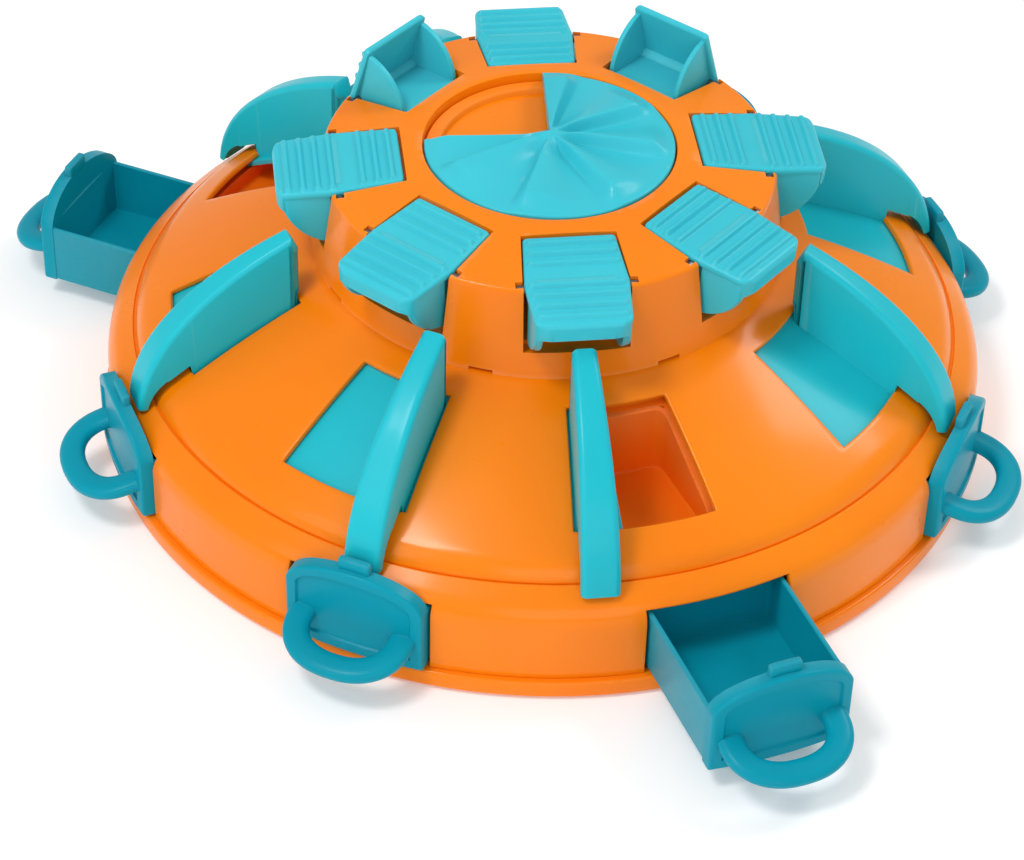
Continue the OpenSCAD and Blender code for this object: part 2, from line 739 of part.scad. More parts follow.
module rotor_disc() {
    blades = 360 - disc_gap;
    ridge_a = 9;
    start = disc_start + disc_gap;
    color("mediumturquoise") difference() {
        union() {
            sector(start, start + blades) polygon([
                [0, disc_z], [bowl_r, disc_z], [bowl_r, disc_z + disc_t - 0.8],
                [bowl_r - 0.8, disc_z + disc_t], [bowl_r * 0.8, disc_z + disc_t - 0.6],
                [hub_d / 2, disc_z + disc_t + 1.4], [0, disc_z + disc_t + 1.4]]);
            for (k = [0:disc_ridges - 1])
                rotate([0, 0, start + (k + 0.5) * blades / disc_ridges]) sector(-ridge_a / 2, ridge_a / 2)
                    polygon([[0, disc_z + 1], [bowl_r * 0.92, disc_z + 1], [bowl_r * 0.92, disc_z + disc_t],
                        [bowl_r * 0.6, disc_z + disc_t + 1.4], [hub_d / 2, hub_top - 1.6], [0, hub_top - 1.6]]);
            rotate_extrude() polygon(concat(
                [[0, disc_z], [hub_d / 2, disc_z]],
                bend([hub_d / 2, hub_top - 3], [hub_d / 2 - 1, hub_top], [0, hub_top])));
        }
        translate([0, 0, disc_z - 1]) cylinder(h = spindle_top + 0.5 - disc_z + 1, d = spindle_d + 2 * seat_gap);
    }
}

// ---- Drawers ----

tray_z = drawer_z + drawer_wall;

// The outline of a drawer's front: straight sides under half an ellipse, moved in by an amount
module front_outline(inset) {
    half_w = front_w / 2 - inset;
    polygon(mirrored([for (p = concat([[half_w, drawer_z + inset]],
        [for (a = [0:7.5:90]) [half_w * cos(a), drawer_z + front_side_h + (front_arch_h - inset) * sin(a)]]))
        p]));
}

// A curved piece of the drawer's front between two radii, cut to an outline in Y and Z
module front_plate(r0, r1, inset) {
    intersection() {
        rotate([90, 0, 90]) linear_extrude(far) front_outline(inset);
        rotate_extrude() translate([r0, 0]) square([r1 - r0, far]);
    }
}

module handle_bar(l) {
    rotate([0, 90, 0]) cylinder(h = l, d = handle_d);
}

module handle() {
    side_y = handle_w / 2;
    straight = handle_l - handle_bend;
    root = 3;
    for (side = [-1, 1]) {
        translate([-root, side * side_y, 0]) handle_bar(straight + root);
        mirror([0, side < 0 ? 1 : 0, 0]) translate([straight, side_y - handle_bend, 0])
            rotate_extrude(angle = 90) translate([handle_bend, 0]) circle(d = handle_d);
    }
    translate([handle_l, -side_y + handle_bend, 0]) rotate([-90, 0, 0])
        cylinder(h = 2 * (side_y - handle_bend), d = handle_d);
}

module drawer_shape() {
    front_out = front_r + front_t;
    stop_tab = [2, drawer_wall, drawer_gap + 1];
    stop_r = inner_edge.x - (drawer_z + drawer_h + stop_tab.z - inner_edge.y) / tan(shoulder_slope);
    stop_x = sqrt(stop_r ^ 2 - (drawer_w / 2) ^ 2) - drawer_travel - slide_gap - stop_tab.x;
    difference() {
        union() {
            translate([drawer_in, -drawer_w / 2, drawer_z]) cube([drawer_l + 1.5, drawer_w, drawer_h]);
            front_plate(front_r, front_out, 0);
            intersection() {
                translate([0, -tab[0] / 2, drawer_z + front_side_h]) cube([far, tab[0], front_arch_h + tab[1]]);
                rotate_extrude() translate([front_r, 0]) square([tab[2], far]);
            }
            for (y = [-drawer_w / 2, drawer_w / 2 - stop_tab.y])
                translate([stop_x, y, drawer_z + drawer_h - cut_gap]) cube(stop_tab);
        }
        translate([drawer_in + drawer_wall, -drawer_w / 2 + drawer_wall, tray_z])
            cube([drawer_l - 1.5 * drawer_wall, drawer_w - 2 * drawer_wall, far]);
        front_plate(front_out - panel_depth, front_out + 1, panel_border);
    }
    translate([front_out, 0, drawer_z + handle_h]) rotate([0, handle_droop, 0]) handle();
}

module drawer(i) {
    color("darkcyan") rotate([0, 0, (i - 1) * pitch])
        translate([drawer_out(i), 0, 0]) drawer_shape();
}

base_pan();
base_wall();
dome_cover();
tower_crown();
centre_bowl();
spindle();
rotor_disc();
foot_shape();  // rubber_foot_centre
for (i = [1:units]) {
    well_tray(i);
    lid(i);
    hinge_pin(i);
    gate(i);
    drawer(i);
}
for (i = [1:fixings]) {
    rubber_foot(i);
    screw(i);
}
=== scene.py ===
import json
import bpy
import bmesh
import numpy as np
from mathutils import Matrix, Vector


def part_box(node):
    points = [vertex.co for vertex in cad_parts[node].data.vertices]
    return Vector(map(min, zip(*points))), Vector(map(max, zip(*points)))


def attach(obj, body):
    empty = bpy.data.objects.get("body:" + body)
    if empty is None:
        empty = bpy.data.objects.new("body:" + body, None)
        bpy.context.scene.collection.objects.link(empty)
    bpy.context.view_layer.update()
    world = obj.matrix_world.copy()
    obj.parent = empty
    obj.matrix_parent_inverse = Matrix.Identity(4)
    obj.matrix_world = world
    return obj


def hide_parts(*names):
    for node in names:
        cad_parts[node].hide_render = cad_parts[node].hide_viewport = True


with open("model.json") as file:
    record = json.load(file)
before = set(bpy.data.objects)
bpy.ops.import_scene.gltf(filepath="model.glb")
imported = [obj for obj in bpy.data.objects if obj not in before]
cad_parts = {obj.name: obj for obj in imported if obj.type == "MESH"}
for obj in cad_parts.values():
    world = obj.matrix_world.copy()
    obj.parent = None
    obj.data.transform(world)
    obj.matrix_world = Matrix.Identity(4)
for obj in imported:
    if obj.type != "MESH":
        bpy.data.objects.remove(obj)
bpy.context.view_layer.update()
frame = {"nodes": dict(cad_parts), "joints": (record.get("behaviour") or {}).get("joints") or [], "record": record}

# All sizes are in millimetres and all angles in degrees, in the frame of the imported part.
mm = 0.001
deg = np.pi / 180
weldGap = 0.002

# What the frame says about the units: unit 1 has its drawer along +X, and its lid a little to one side
joints = {j["name"]: j for j in frame["joints"]}
slotOf = {p["node"]: p["material_slot"] for p in frame["record"]["subparts"]}
bodyOf = {node: body for body, nodes in frame["record"]["behaviour"]["bodies"].items() for node in nodes}
unitCount = len([n for n in frame["nodes"] if n.startswith("lid_")])
unitStep = 360 / unitCount
lidPin = joints["lid_1_rock"]["pos_m"]
pivotR = float(np.hypot(*lidPin[:2])) / mm
pivotH = lidPin[2] / mm
lidOffset = -np.arctan2(lidPin[1], lidPin[0]) / deg
drawerTravel = -joints["drawer_1_slide"]["range_m"][0] / mm


def halfSpan(node):
    low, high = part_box(node)
    return (high.x - low.x) / mm / 2


baseR = halfSpan("base_pan")
towerR = halfSpan("tower_crown")
domeEdge = halfSpan("dome_cover")
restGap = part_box("base_pan")[0].z / mm
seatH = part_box("dome_cover")[0].z / mm
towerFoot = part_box("tower_crown")[0].z / mm
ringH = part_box("tower_crown")[1].z / mm
print("stage 1: frame read,", unitCount, "units")

# Mesh tools. A surface is a pair: an array of points and an array of four-cornered faces.


def xyz(x, y, z):
    return np.stack(np.broadcast_arrays(x, y, z), -1)


def polar(r, a, h):
    # x = r cos a, y = r sin a, z = h
    return xyz(r * np.cos(a * deg), r * np.sin(a * deg), h)


def fullTurn(steps):
    return np.linspace(0, 360, steps, endpoint=False)


def grid(points, closeU=False, closeV=False, keep=None):
    # one face between each four neighbours of a (nu, nv, 3) array; keep is a mask of faces
    nu, nv = points.shape[:2]
    ids = np.arange(nu * nv).reshape(nu, nv)
    if closeU:
        ids = np.concatenate([ids, ids[:1]], 0)
    if closeV:
        ids = np.concatenate([ids, ids[:, :1]], 1)
    faces = np.stack([ids[:-1, :-1], ids[1:, :-1], ids[1:, 1:], ids[:-1, 1:]], -1)
    if keep is not None:
        faces = faces[keep]
    return points.reshape(-1, 3), faces.reshape(-1, 4)


def loft(upper, lower):
    # closed cross-sections, over the upper points and back along the lower ones; a strip shuts each end
    points = np.concatenate([upper, lower[:, ::-1]], 1)
    nu, nv = points.shape[:2]
    verts, faces = grid(points, closeV=True)
    j = np.arange(nv // 2 - 1)
    strip = np.stack([j, j + 1, nv - 2 - j, nv - 1 - j], -1)
    return verts, np.concatenate([faces, strip[:, ::-1], strip + (nu - 1) * nv])


def bag(loops):
    # closed loops joined in order; each end is drawn in to its loop's middle, where the weld makes a point
    first, last = [np.repeat(loops[k].mean(0)[None], len(loops[k]), 0) for k in (0, -1)]
    return grid(np.stack([first, *loops, last]), closeV=True)


def revolve(profile, steps):
    # a profile of radius and height turned round Z
    return grid(polar(profile[:, 0], fullTurn(steps)[:, None], profile[:, 1]), closeU=True)


def turned(surface, angle):
    # round Z, anticlockwise from above: x cos - y sin, x sin + y cos
    c, s = np.cos(angle * deg), np.sin(angle * deg)
    return surface[0] @ np.array([[c, s, 0], [-s, c, 0], [0, 0, 1]]), surface[1]


def tilted(surface, angle):
    # +X turns towards -Z
    c, s = np.cos(angle * deg), np.sin(angle * deg)
    return surface[0] @ np.array([[c, 0, -s], [0, 1, 0], [s, 0, c]]), surface[1]


def moved(surface, x=0, y=0, z=0):
    return surface[0] + np.array([x, y, z]), surface[1]


def mirroredY(surface):
    return surface[0] * np.array([1, -1, 1]), surface[1][:, ::-1]


def bend(a, m, b, n):
    # (1 - t)^2 a + 2 t (1 - t) m + t^2 b: it leaves a towards m and reaches b from m
    t = np.linspace(0, 1, n)[:, None]
    return (1 - t) ** 2 * np.array(a) + 2 * t * (1 - t) * np.array(m) + t ** 2 * np.array(b)


def arc(cx, cy, r, a0, a1, n):
    a = np.linspace(a0, a1, n) * deg
    return np.stack([cx + r * np.cos(a), cy + r * np.sin(a)], -1)


def resample(path, step):
    # the same polyline with points about a step apart; its own points stay
    out = [path[:1]]
    for a, b in zip(path[:-1], path[1:]):
        n = max(1, int(np.ceil(np.linalg.norm(b - a) / step)))
        out.append(a + (b - a) * (np.arange(1, n + 1) / n)[:, None])
    return np.concatenate(out)


def smoothStep(x, lo, hi):
    # 3 t^2 - 2 t^3, from 0 at lo to 1 at hi
    t = np.clip((x - lo) / (hi - lo), 0, 1)
    return t * t * (3 - 2 * t)


def roundOff(depth, r):
    # how far a quarter round of radius r lies inside its corner, at a depth past the corner's face
    return r - np.sqrt(r ** 2 - (r - np.clip(depth, 0, r)) ** 2)


def roundedEnds(start, end, edge, n):
    # places from start to end with a quarter round at each, and how far the section is drawn in there
    turn = np.linspace(0, 90, n) * deg
    along, inset = edge - edge * np.cos(turn), edge - edge * np.sin(turn)
    return np.concatenate([start + along, (end - along)[::-1]]), np.concatenate([inset, inset[::-1]])


def discPart(r, y0, y1, a0, a1, top, edge=0.5):
    # a slice of an upright round plate below the height top, from angle a0 to a1, with rounded faces
    y, inset = roundedEnds(y0, y1, edge, 5)
    rim = polar((r - inset)[:, None], np.linspace(a0, a1, 40), y[:, None])[..., [0, 2, 1]]
    return loft(rim, xyz(rim[..., 0], rim[..., 1], top))


def roundedBar(length, width, thick, edge=0.5):
    # a bar along X with all its edges rounded
    x, inset = roundedEnds(0, length, edge, 4)
    turn = np.linspace(0, 90, 4) * deg
    ca, sa = edge * np.cos(turn), edge * np.sin(turn)
    w = (width / 2 - inset)[:, None]
    y = np.concatenate([w - edge + ca, -w + edge - sa], 1)
    z = (thick / 2 - inset)[:, None] - edge + np.concatenate([sa, ca])
    return loft(xyz(x[:, None], y, z), xyz(x[:, None], y, -z))


def block(x0, x1, y0, y1, z0, z1):
    return moved(roundedBar(x1 - x0, y1 - y0, z1 - z0, 0.3), x0, (y0 + y1) / 2, (z0 + z1) / 2)


def rod(radius, low, high, steps, chamfer=0.4):
    # a chamfered rod along Z
    r = np.array([0, radius - chamfer, radius, radius, radius - chamfer, 0])
    h = np.array([low, low, low + chamfer, high - chamfer, high, high])
    return grid(polar(r[:, None], fullTurn(steps), h[:, None]), closeV=True)


def newObject(name, data):
    obj = bpy.data.objects.new(name, data)
    bpy.context.scene.collection.objects.link(obj)
    return obj


def mend(mesh, weld=False, fill=False, outward=True):
    # merges doubles, shuts open rings and turns the faces outwards, each where asked
    bm = bmesh.new()
    bm.from_mesh(mesh)
    if weld:
        bmesh.ops.remove_doubles(bm, verts=bm.verts, dist=weldGap * mm)
        bmesh.ops.dissolve_degenerate(bm, edges=bm.edges, dist=weldGap * mm / 2)
    if fill:
        bmesh.ops.holes_fill(bm, edges=bm.edges)
    if outward:
        bmesh.ops.recalc_face_normals(bm, faces=bm.faces)
    bm.to_mesh(mesh)
    bm.free()


def makePiece(name, surfaces, node, material, sharp=40, fill=False, outward=True):
    # one welded mesh that replaces a CAD node and rides on its body; edges past the angle sharp stay crisp
    starts = np.cumsum([0] + [len(s[0]) for s in surfaces[:-1]])
    mesh = bpy.data.meshes.new(name)
    mesh.from_pydata(np.concatenate([s[0] for s in surfaces]) * mm, [],
                     np.concatenate([s[1] + k for s, k in zip(surfaces, starts)]))
    mend(mesh, True, fill, outward)
    mesh.shade_smooth()
    mesh.set_sharp_from_angle(angle=sharp * deg)
    mesh.materials.append(material)
    piece = newObject(name, mesh)
    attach(piece, bodyOf[node])
    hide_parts(node)
    return piece


def addBevel(piece, width, angle):
    bevel = piece.modifiers.new("edges", "BEVEL")
    bevel.width = width * mm
    bevel.segments = 3
    bevel.limit_method = "ANGLE"
    bevel.angle_limit = angle * deg


def addWall(piece, thickness, edge):
    # a skin gets its thickness inwards, and then its edges are rounded
    wall = piece.modifiers.new("wall", "SOLIDIFY")
    wall.thickness = thickness * mm
    wall.offset = -1
    wall.use_even_offset = True
    addBevel(piece, edge, 50)


# Materials. What is fed to a node's input is another node's output, or the input's own number or colour.


def addNode(tree, kind, inputs, **settings):
    node = tree.nodes.new("ShaderNode" + kind)
    for key, value in settings.items():
        setattr(node, key, value)
    for label, value in inputs.items():
        if hasattr(value, "is_linked"):
            tree.links.new(value, node.inputs[label])
        else:
            node.inputs[label].default_value = value
    return node.outputs


def addNoise(tree, scale, detail=2, rough=0.5):
    place = addNode(tree, "TexCoord", {})["Object"]
    noise = {"Vector": place, "Scale": scale, "Detail": detail, "Roughness": rough}
    return addNode(tree, "TexNoise", noise)["Fac"]


def addRange(tree, value, low, high, toLow=0, toHigh=1):
    return addNode(tree, "MapRange", {"Value": value, "From Min": low, "From Max": high, "To Min": toLow,
                                      "To Max": toHigh})["Result"]


def addMix(tree, factor, a, b):
    return addNode(tree, "Mix", {"Factor": factor, "A": a, "B": b}, data_type="RGBA")["Result"]


def newMaterial(name):
    material = bpy.data.materials.new(name)
    material.use_nodes = True
    return material, material.node_tree, material.node_tree.nodes["Principled BSDF"].inputs


def setSockets(sockets, values):
    for label, value in values.items():
        sockets[label].default_value = value


mould = {
    "cloudDetail": 3, "cloudLow": 0.3, "cloudHigh": 0.7, "edgeLow": 0.53, "edgeHigh": 0.62,
    "scuffScale": 240, "scuffDull": 0.5, "wornColor": (1, 0.86, 0.66, 1), "patchScale": 55,
    "patchSmear": 0.16, "skinScale": 1500, "skinShare": 0.35, "flowScale": 90, "bumpDepth": 0.0004,
}


def makeMouldedGroup(p=mould):
    # moulded plastic: drifting shade, fine skin, faint flow lines and scuffs on the edges
    group = bpy.data.node_groups.new("mouldedPlastic", "ShaderNodeTree")
    inputs = {"Light": "Color", "Dark": "Color", "Roughness": "Float", "Skin": "Float", "Drift": "Float",
              "Wear": "Float"}
    outputs = {"Color": "Color", "Roughness": "Float", "Normal": "Vector"}
    for side, sockets in (("INPUT", inputs), ("OUTPUT", outputs)):
        for label, kind in sockets.items():
            group.interface.new_socket(label, in_out=side, socket_type="NodeSocket" + kind)
    given = group.nodes.new("NodeGroupInput").outputs
    result = group.nodes.new("NodeGroupOutput").inputs

    def maths(operation, a, b):
        return addNode(group, "Math", {0: a, 1: b}, operation=operation)[0]

    cloud = addNoise(group, given["Drift"], p["cloudDetail"])
    shade = addRange(group, cloud, p["cloudLow"], p["cloudHigh"])
    color = addMix(group, shade, given["Dark"], given["Light"])
    point = addNode(group, "NewGeometry", {})["Pointiness"]
    edge = addRange(group, point, p["edgeLow"], p["edgeHigh"])
    scratch = maths("MULTIPLY", addNoise(group, p["scuffScale"], 6, 0.7), given["Wear"])
    scuff = maths("MULTIPLY", edge, scratch)
    patch = maths("SUBTRACT", addNoise(group, p["patchScale"], 4, 0.6), 0.5)
    smear = maths("MULTIPLY", patch, p["patchSmear"])
    rough = maths("ADD", maths("ADD", given["Roughness"], smear), maths("MULTIPLY", scuff, p["scuffDull"]))
    skin = maths("MULTIPLY", addNoise(group, p["skinScale"]), p["skinShare"])
    height = maths("ADD", skin, addNoise(group, p["flowScale"]))
    bump = addNode(group, "Bump", {"Strength": given["Skin"], "Distance": p["bumpDepth"], "Height": height})
    group.links.new(addMix(group, scuff, color, p["wornColor"]), result["Color"])
    group.links.new(rough, result["Roughness"])
    group.links.new(bump["Normal"], result["Normal"])
    return group


# light and dark are the ends of the drifting shade, glow and bleed the light under the surface
anyPlastic = {
    "roughness": 0.38, "skin": 0.1, "drift": 12, "wear": 0.12, "glow": 0.1, "bleed": (0.1, 0.6, 0.8),
    "shine": 0.18, "coat": 0.1, "coatRough": 0.14, "bleedScale": 0.004, "ior": 1.49,
}
plastics = {
    "shellOrange": {"light": (0.97, 0.25, 0.002), "dark": (0.93, 0.205, 0.001), "roughness": 0.3,
                    "skin": 0.08, "drift": 9, "bleed": (1.0, 0.35, 0.05), "shine": 0.13, "coat": 0.3},
    # the well trays are the shell's orange plastic, made redder and given more light under the surface: painted
    # shade, standing in for the redder light that bounces about inside the deep wells
    "wellOrangePaintedShade": {"light": (1.0, 0.2, 0.006), "dark": (0.98, 0.16, 0.004), "roughness": 0.34, "skin": 0.08,
                   "drift": 9, "glow": 0.2, "bleed": (1.0, 0.3, 0.05), "shine": 0.2},
    "lidTurquoise": {"light": (0.05, 0.55, 0.65), "dark": (0.035, 0.50, 0.60), "drift": 14},
    "gateTurquoise": {"light": (0.012, 0.51, 0.60), "dark": (0.008, 0.46, 0.55)},
    "drawerTeal": {"light": (0.002, 0.315, 0.42), "dark": (0.001, 0.27, 0.37), "roughness": 0.34,
                   "glow": 0.05, "bleed": (0.1, 0.5, 0.7), "shine": 0.09, "coat": 0.03},
}
rubber = {"dark": (0.05, 0.05, 0.052, 1), "light": (0.09, 0.09, 0.092, 1), "grain": 900, "bump": 0.5,
          "bumpDepth": 0.0003, "roughness": 0.85}
steel = {"color": (0.2, 0.2, 0.21, 1), "grain": 700, "polished": 0.25, "dull": 0.5}


def mouldedMaterial(name, look):
    material, tree, shader = newMaterial(name)
    skin = tree.nodes.new("ShaderNodeGroup")
    skin.node_tree = mouldedGroup
    setSockets(skin.inputs, {"Light": (*look["light"], 1), "Dark": (*look["dark"], 1), "Skin": look["skin"],
                             "Roughness": look["roughness"], "Drift": look["drift"], "Wear": look["wear"]})
    for source, target in (("Color", "Base Color"), ("Roughness", "Roughness"), ("Normal", "Normal")):
        tree.links.new(skin.outputs[source], shader[target])
    setSockets(shader, {"IOR": look["ior"], "Specular IOR Level": look["shine"], "Coat Weight": look["coat"],
                        "Coat Roughness": look["coatRough"], "Subsurface Weight": look["glow"],
                        "Subsurface Radius": look["bleed"], "Subsurface Scale": look["bleedScale"]})
    return material


def rubberMaterial(name, p=rubber):
    material, tree, shader = newMaterial(name)
    grain = addNoise(tree, p["grain"])
    bump = addNode(tree, "Bump", {"Strength": p["bump"], "Distance": p["bumpDepth"], "Height": grain})
    tree.links.new(addMix(tree, grain, p["dark"], p["light"]), shader["Base Color"])
    tree.links.new(bump["Normal"], shader["Normal"])
    setSockets(shader, {"Roughness": p["roughness"]})
    return material


def steelMaterial(name, p=steel):
    material, tree, shader = newMaterial(name)
    grain = addNoise(tree, p["grain"], 4)
    tree.links.new(addRange(tree, grain, 0, 1, p["polished"], p["dull"]), shader["Roughness"])
    setSockets(shader, {"Base Color": p["color"], "Metallic": 1})
    return material


mouldedGroup = makeMouldedGroup()
materials = {name: mouldedMaterial(name, {**anyPlastic, **look}) for name, look in plastics.items()}
materials["padRubber"] = rubberMaterial("padRubber")
materials["pinSteel"] = steelMaterial("pinSteel")
slotMaterials = {"shell_orange": "shellOrange", "lid_turquoise": "lidTurquoise", "pad_rubber": "padRubber",
                 "gate_turquoise": "gateTurquoise", "drawer_teal": "drawerTeal", "pin_steel": "pinSteel"}
for node, obj in frame["nodes"].items():
    obj.data.materials.clear()
    obj.data.materials.append(materials[slotMaterials[slotOf[node]]])
print("stage 2: materials made")

# Lids. A lid is worked out round its pin, with the nose along +X.
lid = {
    "inner": 24, "outer": 23, "widthInner": 33.4, "width": 37.4, "widthOuter": 35, "thick": 2.7, "rise": 3.1,
    "droop": 5, "lipDepth": 8, "lipThick": 2.5, "noseCorner": 5, "innerCorner": 1.5, "edgeRound": 1.2,
    "noseRound": 2.2, "underRound": 0.8, "sideTuck": 0.4, "ribHeight": 1.35, "ribWidth": 2.6, "ribPitch": 5.4,
    "ribsInner": 3, "ribsOuter": 4, "ribFirst": 4, "ribLast": 4.8, "ribMargin": 1.5, "ribFoot": 0.25,
    "ribFlank": 0.85, "cheekR": 21.5, "cheekInside": 14.1, "cheekThick": 2, "skirtR": 21.1, "skirtStep": 1.2,
    "skirtStart": 280, "skirtRound": 0.7, "overlap": 0.6, "floorIn": 2.5, "floorAngle": 248, "barrelR": 3.4,
    "step": 0.33,
}


def lidHalfWidth(x, p=lid):
    # widest at the hinge, with a quarter round taken off both corners of each end
    w = np.interp(x, [-p["inner"], 0, p["outer"] - p["noseCorner"]],
                  [p["widthInner"] / 2, p["width"] / 2, p["widthOuter"] / 2])
    return w - roundOff(p["outer"] - x, p["noseCorner"]) - roundOff(x + p["inner"], p["innerCorner"])


def lidPlate(p=lid):
    # cross-sections along X; each end is drawn in on a quarter round, and the ribs stand on the top
    ends = 1 - np.cos(np.linspace(0, 90, 9) * deg)
    inner, outer, edge = p["inner"], p["outer"], p["edgeRound"]
    x = np.unique(np.round(np.concatenate([
        edge * ends - inner, np.arange(edge - inner + 0.1, outer - p["noseRound"] - 0.1, p["step"]),
        outer - p["noseRound"] * ends, outer - p["noseCorner"] * ends,
        outer - p["lipThick"] + np.array([-0.02, 0.02])]), 4))
    drawIn = roundOff(x + inner, edge) + roundOff(outer - x, p["noseRound"])
    half = (lidHalfWidth(x) - np.minimum(drawIn, edge / 2))[:, None]
    base = p["rise"] - np.where(x > outer - p["lipThick"], p["lipDepth"], p["thick"])
    base = base + np.minimum(drawIn, p["underRound"])
    ribs = np.concatenate([p["ribFirst"] - inner + p["ribPitch"] * np.arange(p["ribsInner"]),
                           outer - p["ribLast"] - p["ribPitch"] * np.arange(p["ribsOuter"])])
    near = np.abs(x[:, None] - ribs).min(1) - p["ribWidth"] / 2
    turn = np.linspace(0, 90, 6) * deg
    y = np.concatenate([half - edge + edge * np.cos(turn), (half - edge) * np.linspace(1, -1, 41)[1:-1],
                        edge - half - edge * np.sin(turn)], 1)
    drop = np.concatenate([edge - edge * np.sin(turn), np.zeros(39), edge - edge * np.cos(turn)])
    rib = (1 - smoothStep(near, -p["ribFlank"], p["ribFoot"]))[:, None]
    rib = rib * smoothStep(half - np.abs(y), p["ribMargin"] - 0.5, p["ribMargin"] + 0.4)
    top = (p["rise"] - drawIn)[:, None] - drop + p["ribHeight"] * rib
    return loft(xyz(x[:, None], y, top), xyz(x[:, None], y, base[:, None] + p["sideTuck"] * drop / edge))


def insidePlan(surface, p=lid):
    # a skirt gets narrower with the lid's plan where the nose is rounded
    points = surface[0].copy()
    low, high = points[:, 1].min(), points[:, 1].max()
    room = lidHalfWidth(np.clip(points[:, 0], 0, p["outer"] - 0.2)) - 0.25
    points[:, 1] = low + (points[:, 1] - low) * np.minimum((room - low) / (high - low), 1)
    return points, surface[1]


def lidParts(p=lid):
    # the ribbed plate with a cheek and a skirt on each side, the scoop's floor and the barrel on the pin
    inside, thick = p["cheekInside"], p["cheekThick"]
    under = p["rise"] - p["thick"] + p["overlap"]
    cheek = discPart(p["cheekR"], inside, inside + thick, 180, 360, under)
    skirt = insidePlan(discPart(p["skirtR"], inside + 0.2, p["width"] / 2 - p["skirtStep"],
                                p["skirtStart"], 360, under, p["skirtRound"]))
    hanging = [lidPlate(), cheek, mirroredY(cheek), skirt, mirroredY(skirt)]
    width = 2 * inside + 1
    floorPlate = moved(roundedBar(p["cheekR"] - p["floorIn"], width, thick), x=p["floorIn"])
    points, faces = rod(p["barrelR"], -width / 2, width / 2, 32)
    return [tilted(s, p["droop"]) for s in hanging] + [tilted(floorPlate, -p["floorAngle"]),
                                                       (points[:, [0, 2, 1]], faces)]


shutLid = lidParts()
for k in range(1, unitCount + 1):
    openBy = -joints[f"lid_{k}_rock"]["range_deg"][0]
    turn = (k - 1) * unitStep - lidOffset
    parts = [turned(moved(tilted(s, openBy), x=pivotR, z=pivotH), turn) for s in shutLid]
    makePiece(f"ribbedLid_{k}", parts, f"lid_{k}", materials["lidTurquoise"])
print("stage 3: lids made")

# Centre disc: a plate with an open sector, its top a low cone with folds
disc = {
    "r": 46.4, "under": 116.8, "rimTop": 119.5, "peak": 125.4, "coneCurve": 1.5, "coneSink": 0.62,
    "edgeRound": 0.8, "foldHeight": 4.6, "steep": 9, "crest": 0.15, "crease": 0.03, "creases": 2,
    "before": 30, "after": 24, "folds": [20.6, 69, 118, 167, 206, 253], "hub": (1.5, 12),
    "rim": (37, 45.5), "rimFade": 0.85, "gapStart": 71.5, "gap": 86,
}


def discTop(r, a, p=disc):
    # each fold climbs over a steep flank and sinks slowly to the next, and it fades at the hub and the rim
    starts = np.array([-p["before"]] + p["folds"])
    ends = np.array(p["folds"] + [360 - p["gap"] + p["after"]])
    which = np.clip(np.searchsorted(starts, a, side="right") - 1, 0, len(starts) - 1)
    into = a - starts[which]
    share = into / (ends - starts)[which]
    rise = smoothStep(into, 0, p["steep"])
    sink = 1 - smoothStep(share, p["crest"], 1)
    crease = p["crease"] * (1 - np.cos(share * 2 * np.pi * p["creases"]))
    cone = (p["peak"] - p["rimTop"]) * (1 - r / p["r"]) ** p["coneCurve"]
    reach = smoothStep(r, *p["hub"]) * (1 - p["rimFade"] * smoothStep(r, *p["rim"]))
    return p["rimTop"] + cone * (1 - p["coneSink"] * reach) + reach * rise * (p["foldHeight"] * sink - crease)


def discSurface(p=disc):
    # flat below and discTop above, out to a quarter round at the rim
    flat = p["r"] - p["edgeRound"]
    turn = np.linspace(90, 0, 7)[1:] * deg
    r = np.concatenate([np.linspace(0, flat, 52), flat + p["edgeRound"] * np.cos(turn)])
    a = np.linspace(0, 360 - p["gap"], 420)[:, None]
    top = discTop(np.minimum(r, flat), a) - roundOff(p["r"] - r, p["edgeRound"])
    a = a + p["gapStart"] + p["gap"]
    return loft(polar(r, a, top), polar(r, a, np.full_like(top, p["under"])))


makePiece("ridgedDisc", [discSurface()], "rotor_disc", materials["lidTurquoise"], 50)
print("stage 4: disc made")

# Dome and gates. The line of the dome is needed first, because the gates follow it.
dome = {
    "edgeR": 150, "edgeH": 50.6, "bulge": 1.6, "skin": 2.4, "rollSlope": -75, "windowIn": 99.8,
    "shelfR": 76.4, "windowOut": 142.5, "windowBack": 17.9, "windowFront": 3, "edgeRound": 0.7,
}
gate = {
    "halfAngle": 2.5, "lift": 3.5, "sweepL": 147, "sweepH": 79, "sweepZ": 39.3, "tipR": 163.7,
    "tipSamples": 3.6, "innerR": 98.6, "footIn": 100.6, "footOut": 141.7, "noseClear": 24.5, "plateIn": 98,
    "plateOut": 144.3, "plateBack": 19.1, "plateFront": 4.2, "plateDrop": 2.9, "plateThick": 2,
    "footSink": 1, "corner": 2.3, "endRound": 2,
}


def domeH(r, p=dome):
    # a straight slope from the tower's foot to the rolled edge, with a bulge 4 t (1 - t) between
    t = (r - towerR) / (p["edgeR"] - towerR)
    return towerFoot + (p["edgeH"] - towerFoot) * t + 4 * p["bulge"] * t * (1 - t)


def meet(p, a, q, b):
    # where the line through p at angle a meets the line through q at angle b
    k = ((q[0] - p[0]) * np.sin(b * deg) - (q[1] - p[1]) * np.cos(b * deg)) / np.sin((b - a) * deg)
    return np.array([p[0] + k * np.cos(a * deg), p[1] + k * np.sin(a * deg)])


def domeRoll(inset, n, p=dome):
    # the dome's rolled edge, from its slope down to the seat, and the same line further in or out
    slope = np.arctan((p["edgeH"] - towerFoot - 4 * p["bulge"]) / (p["edgeR"] - towerR)) / deg
    a = np.array([p["edgeR"], p["edgeH"]]) + inset * np.array([np.sin(slope * deg), -np.cos(slope * deg)])
    b = np.array([domeEdge + inset / np.sin(p["rollSlope"] * deg), seatH])
    return bend(a, meet(a, slope, b, p["rollSlope"]), b, n)


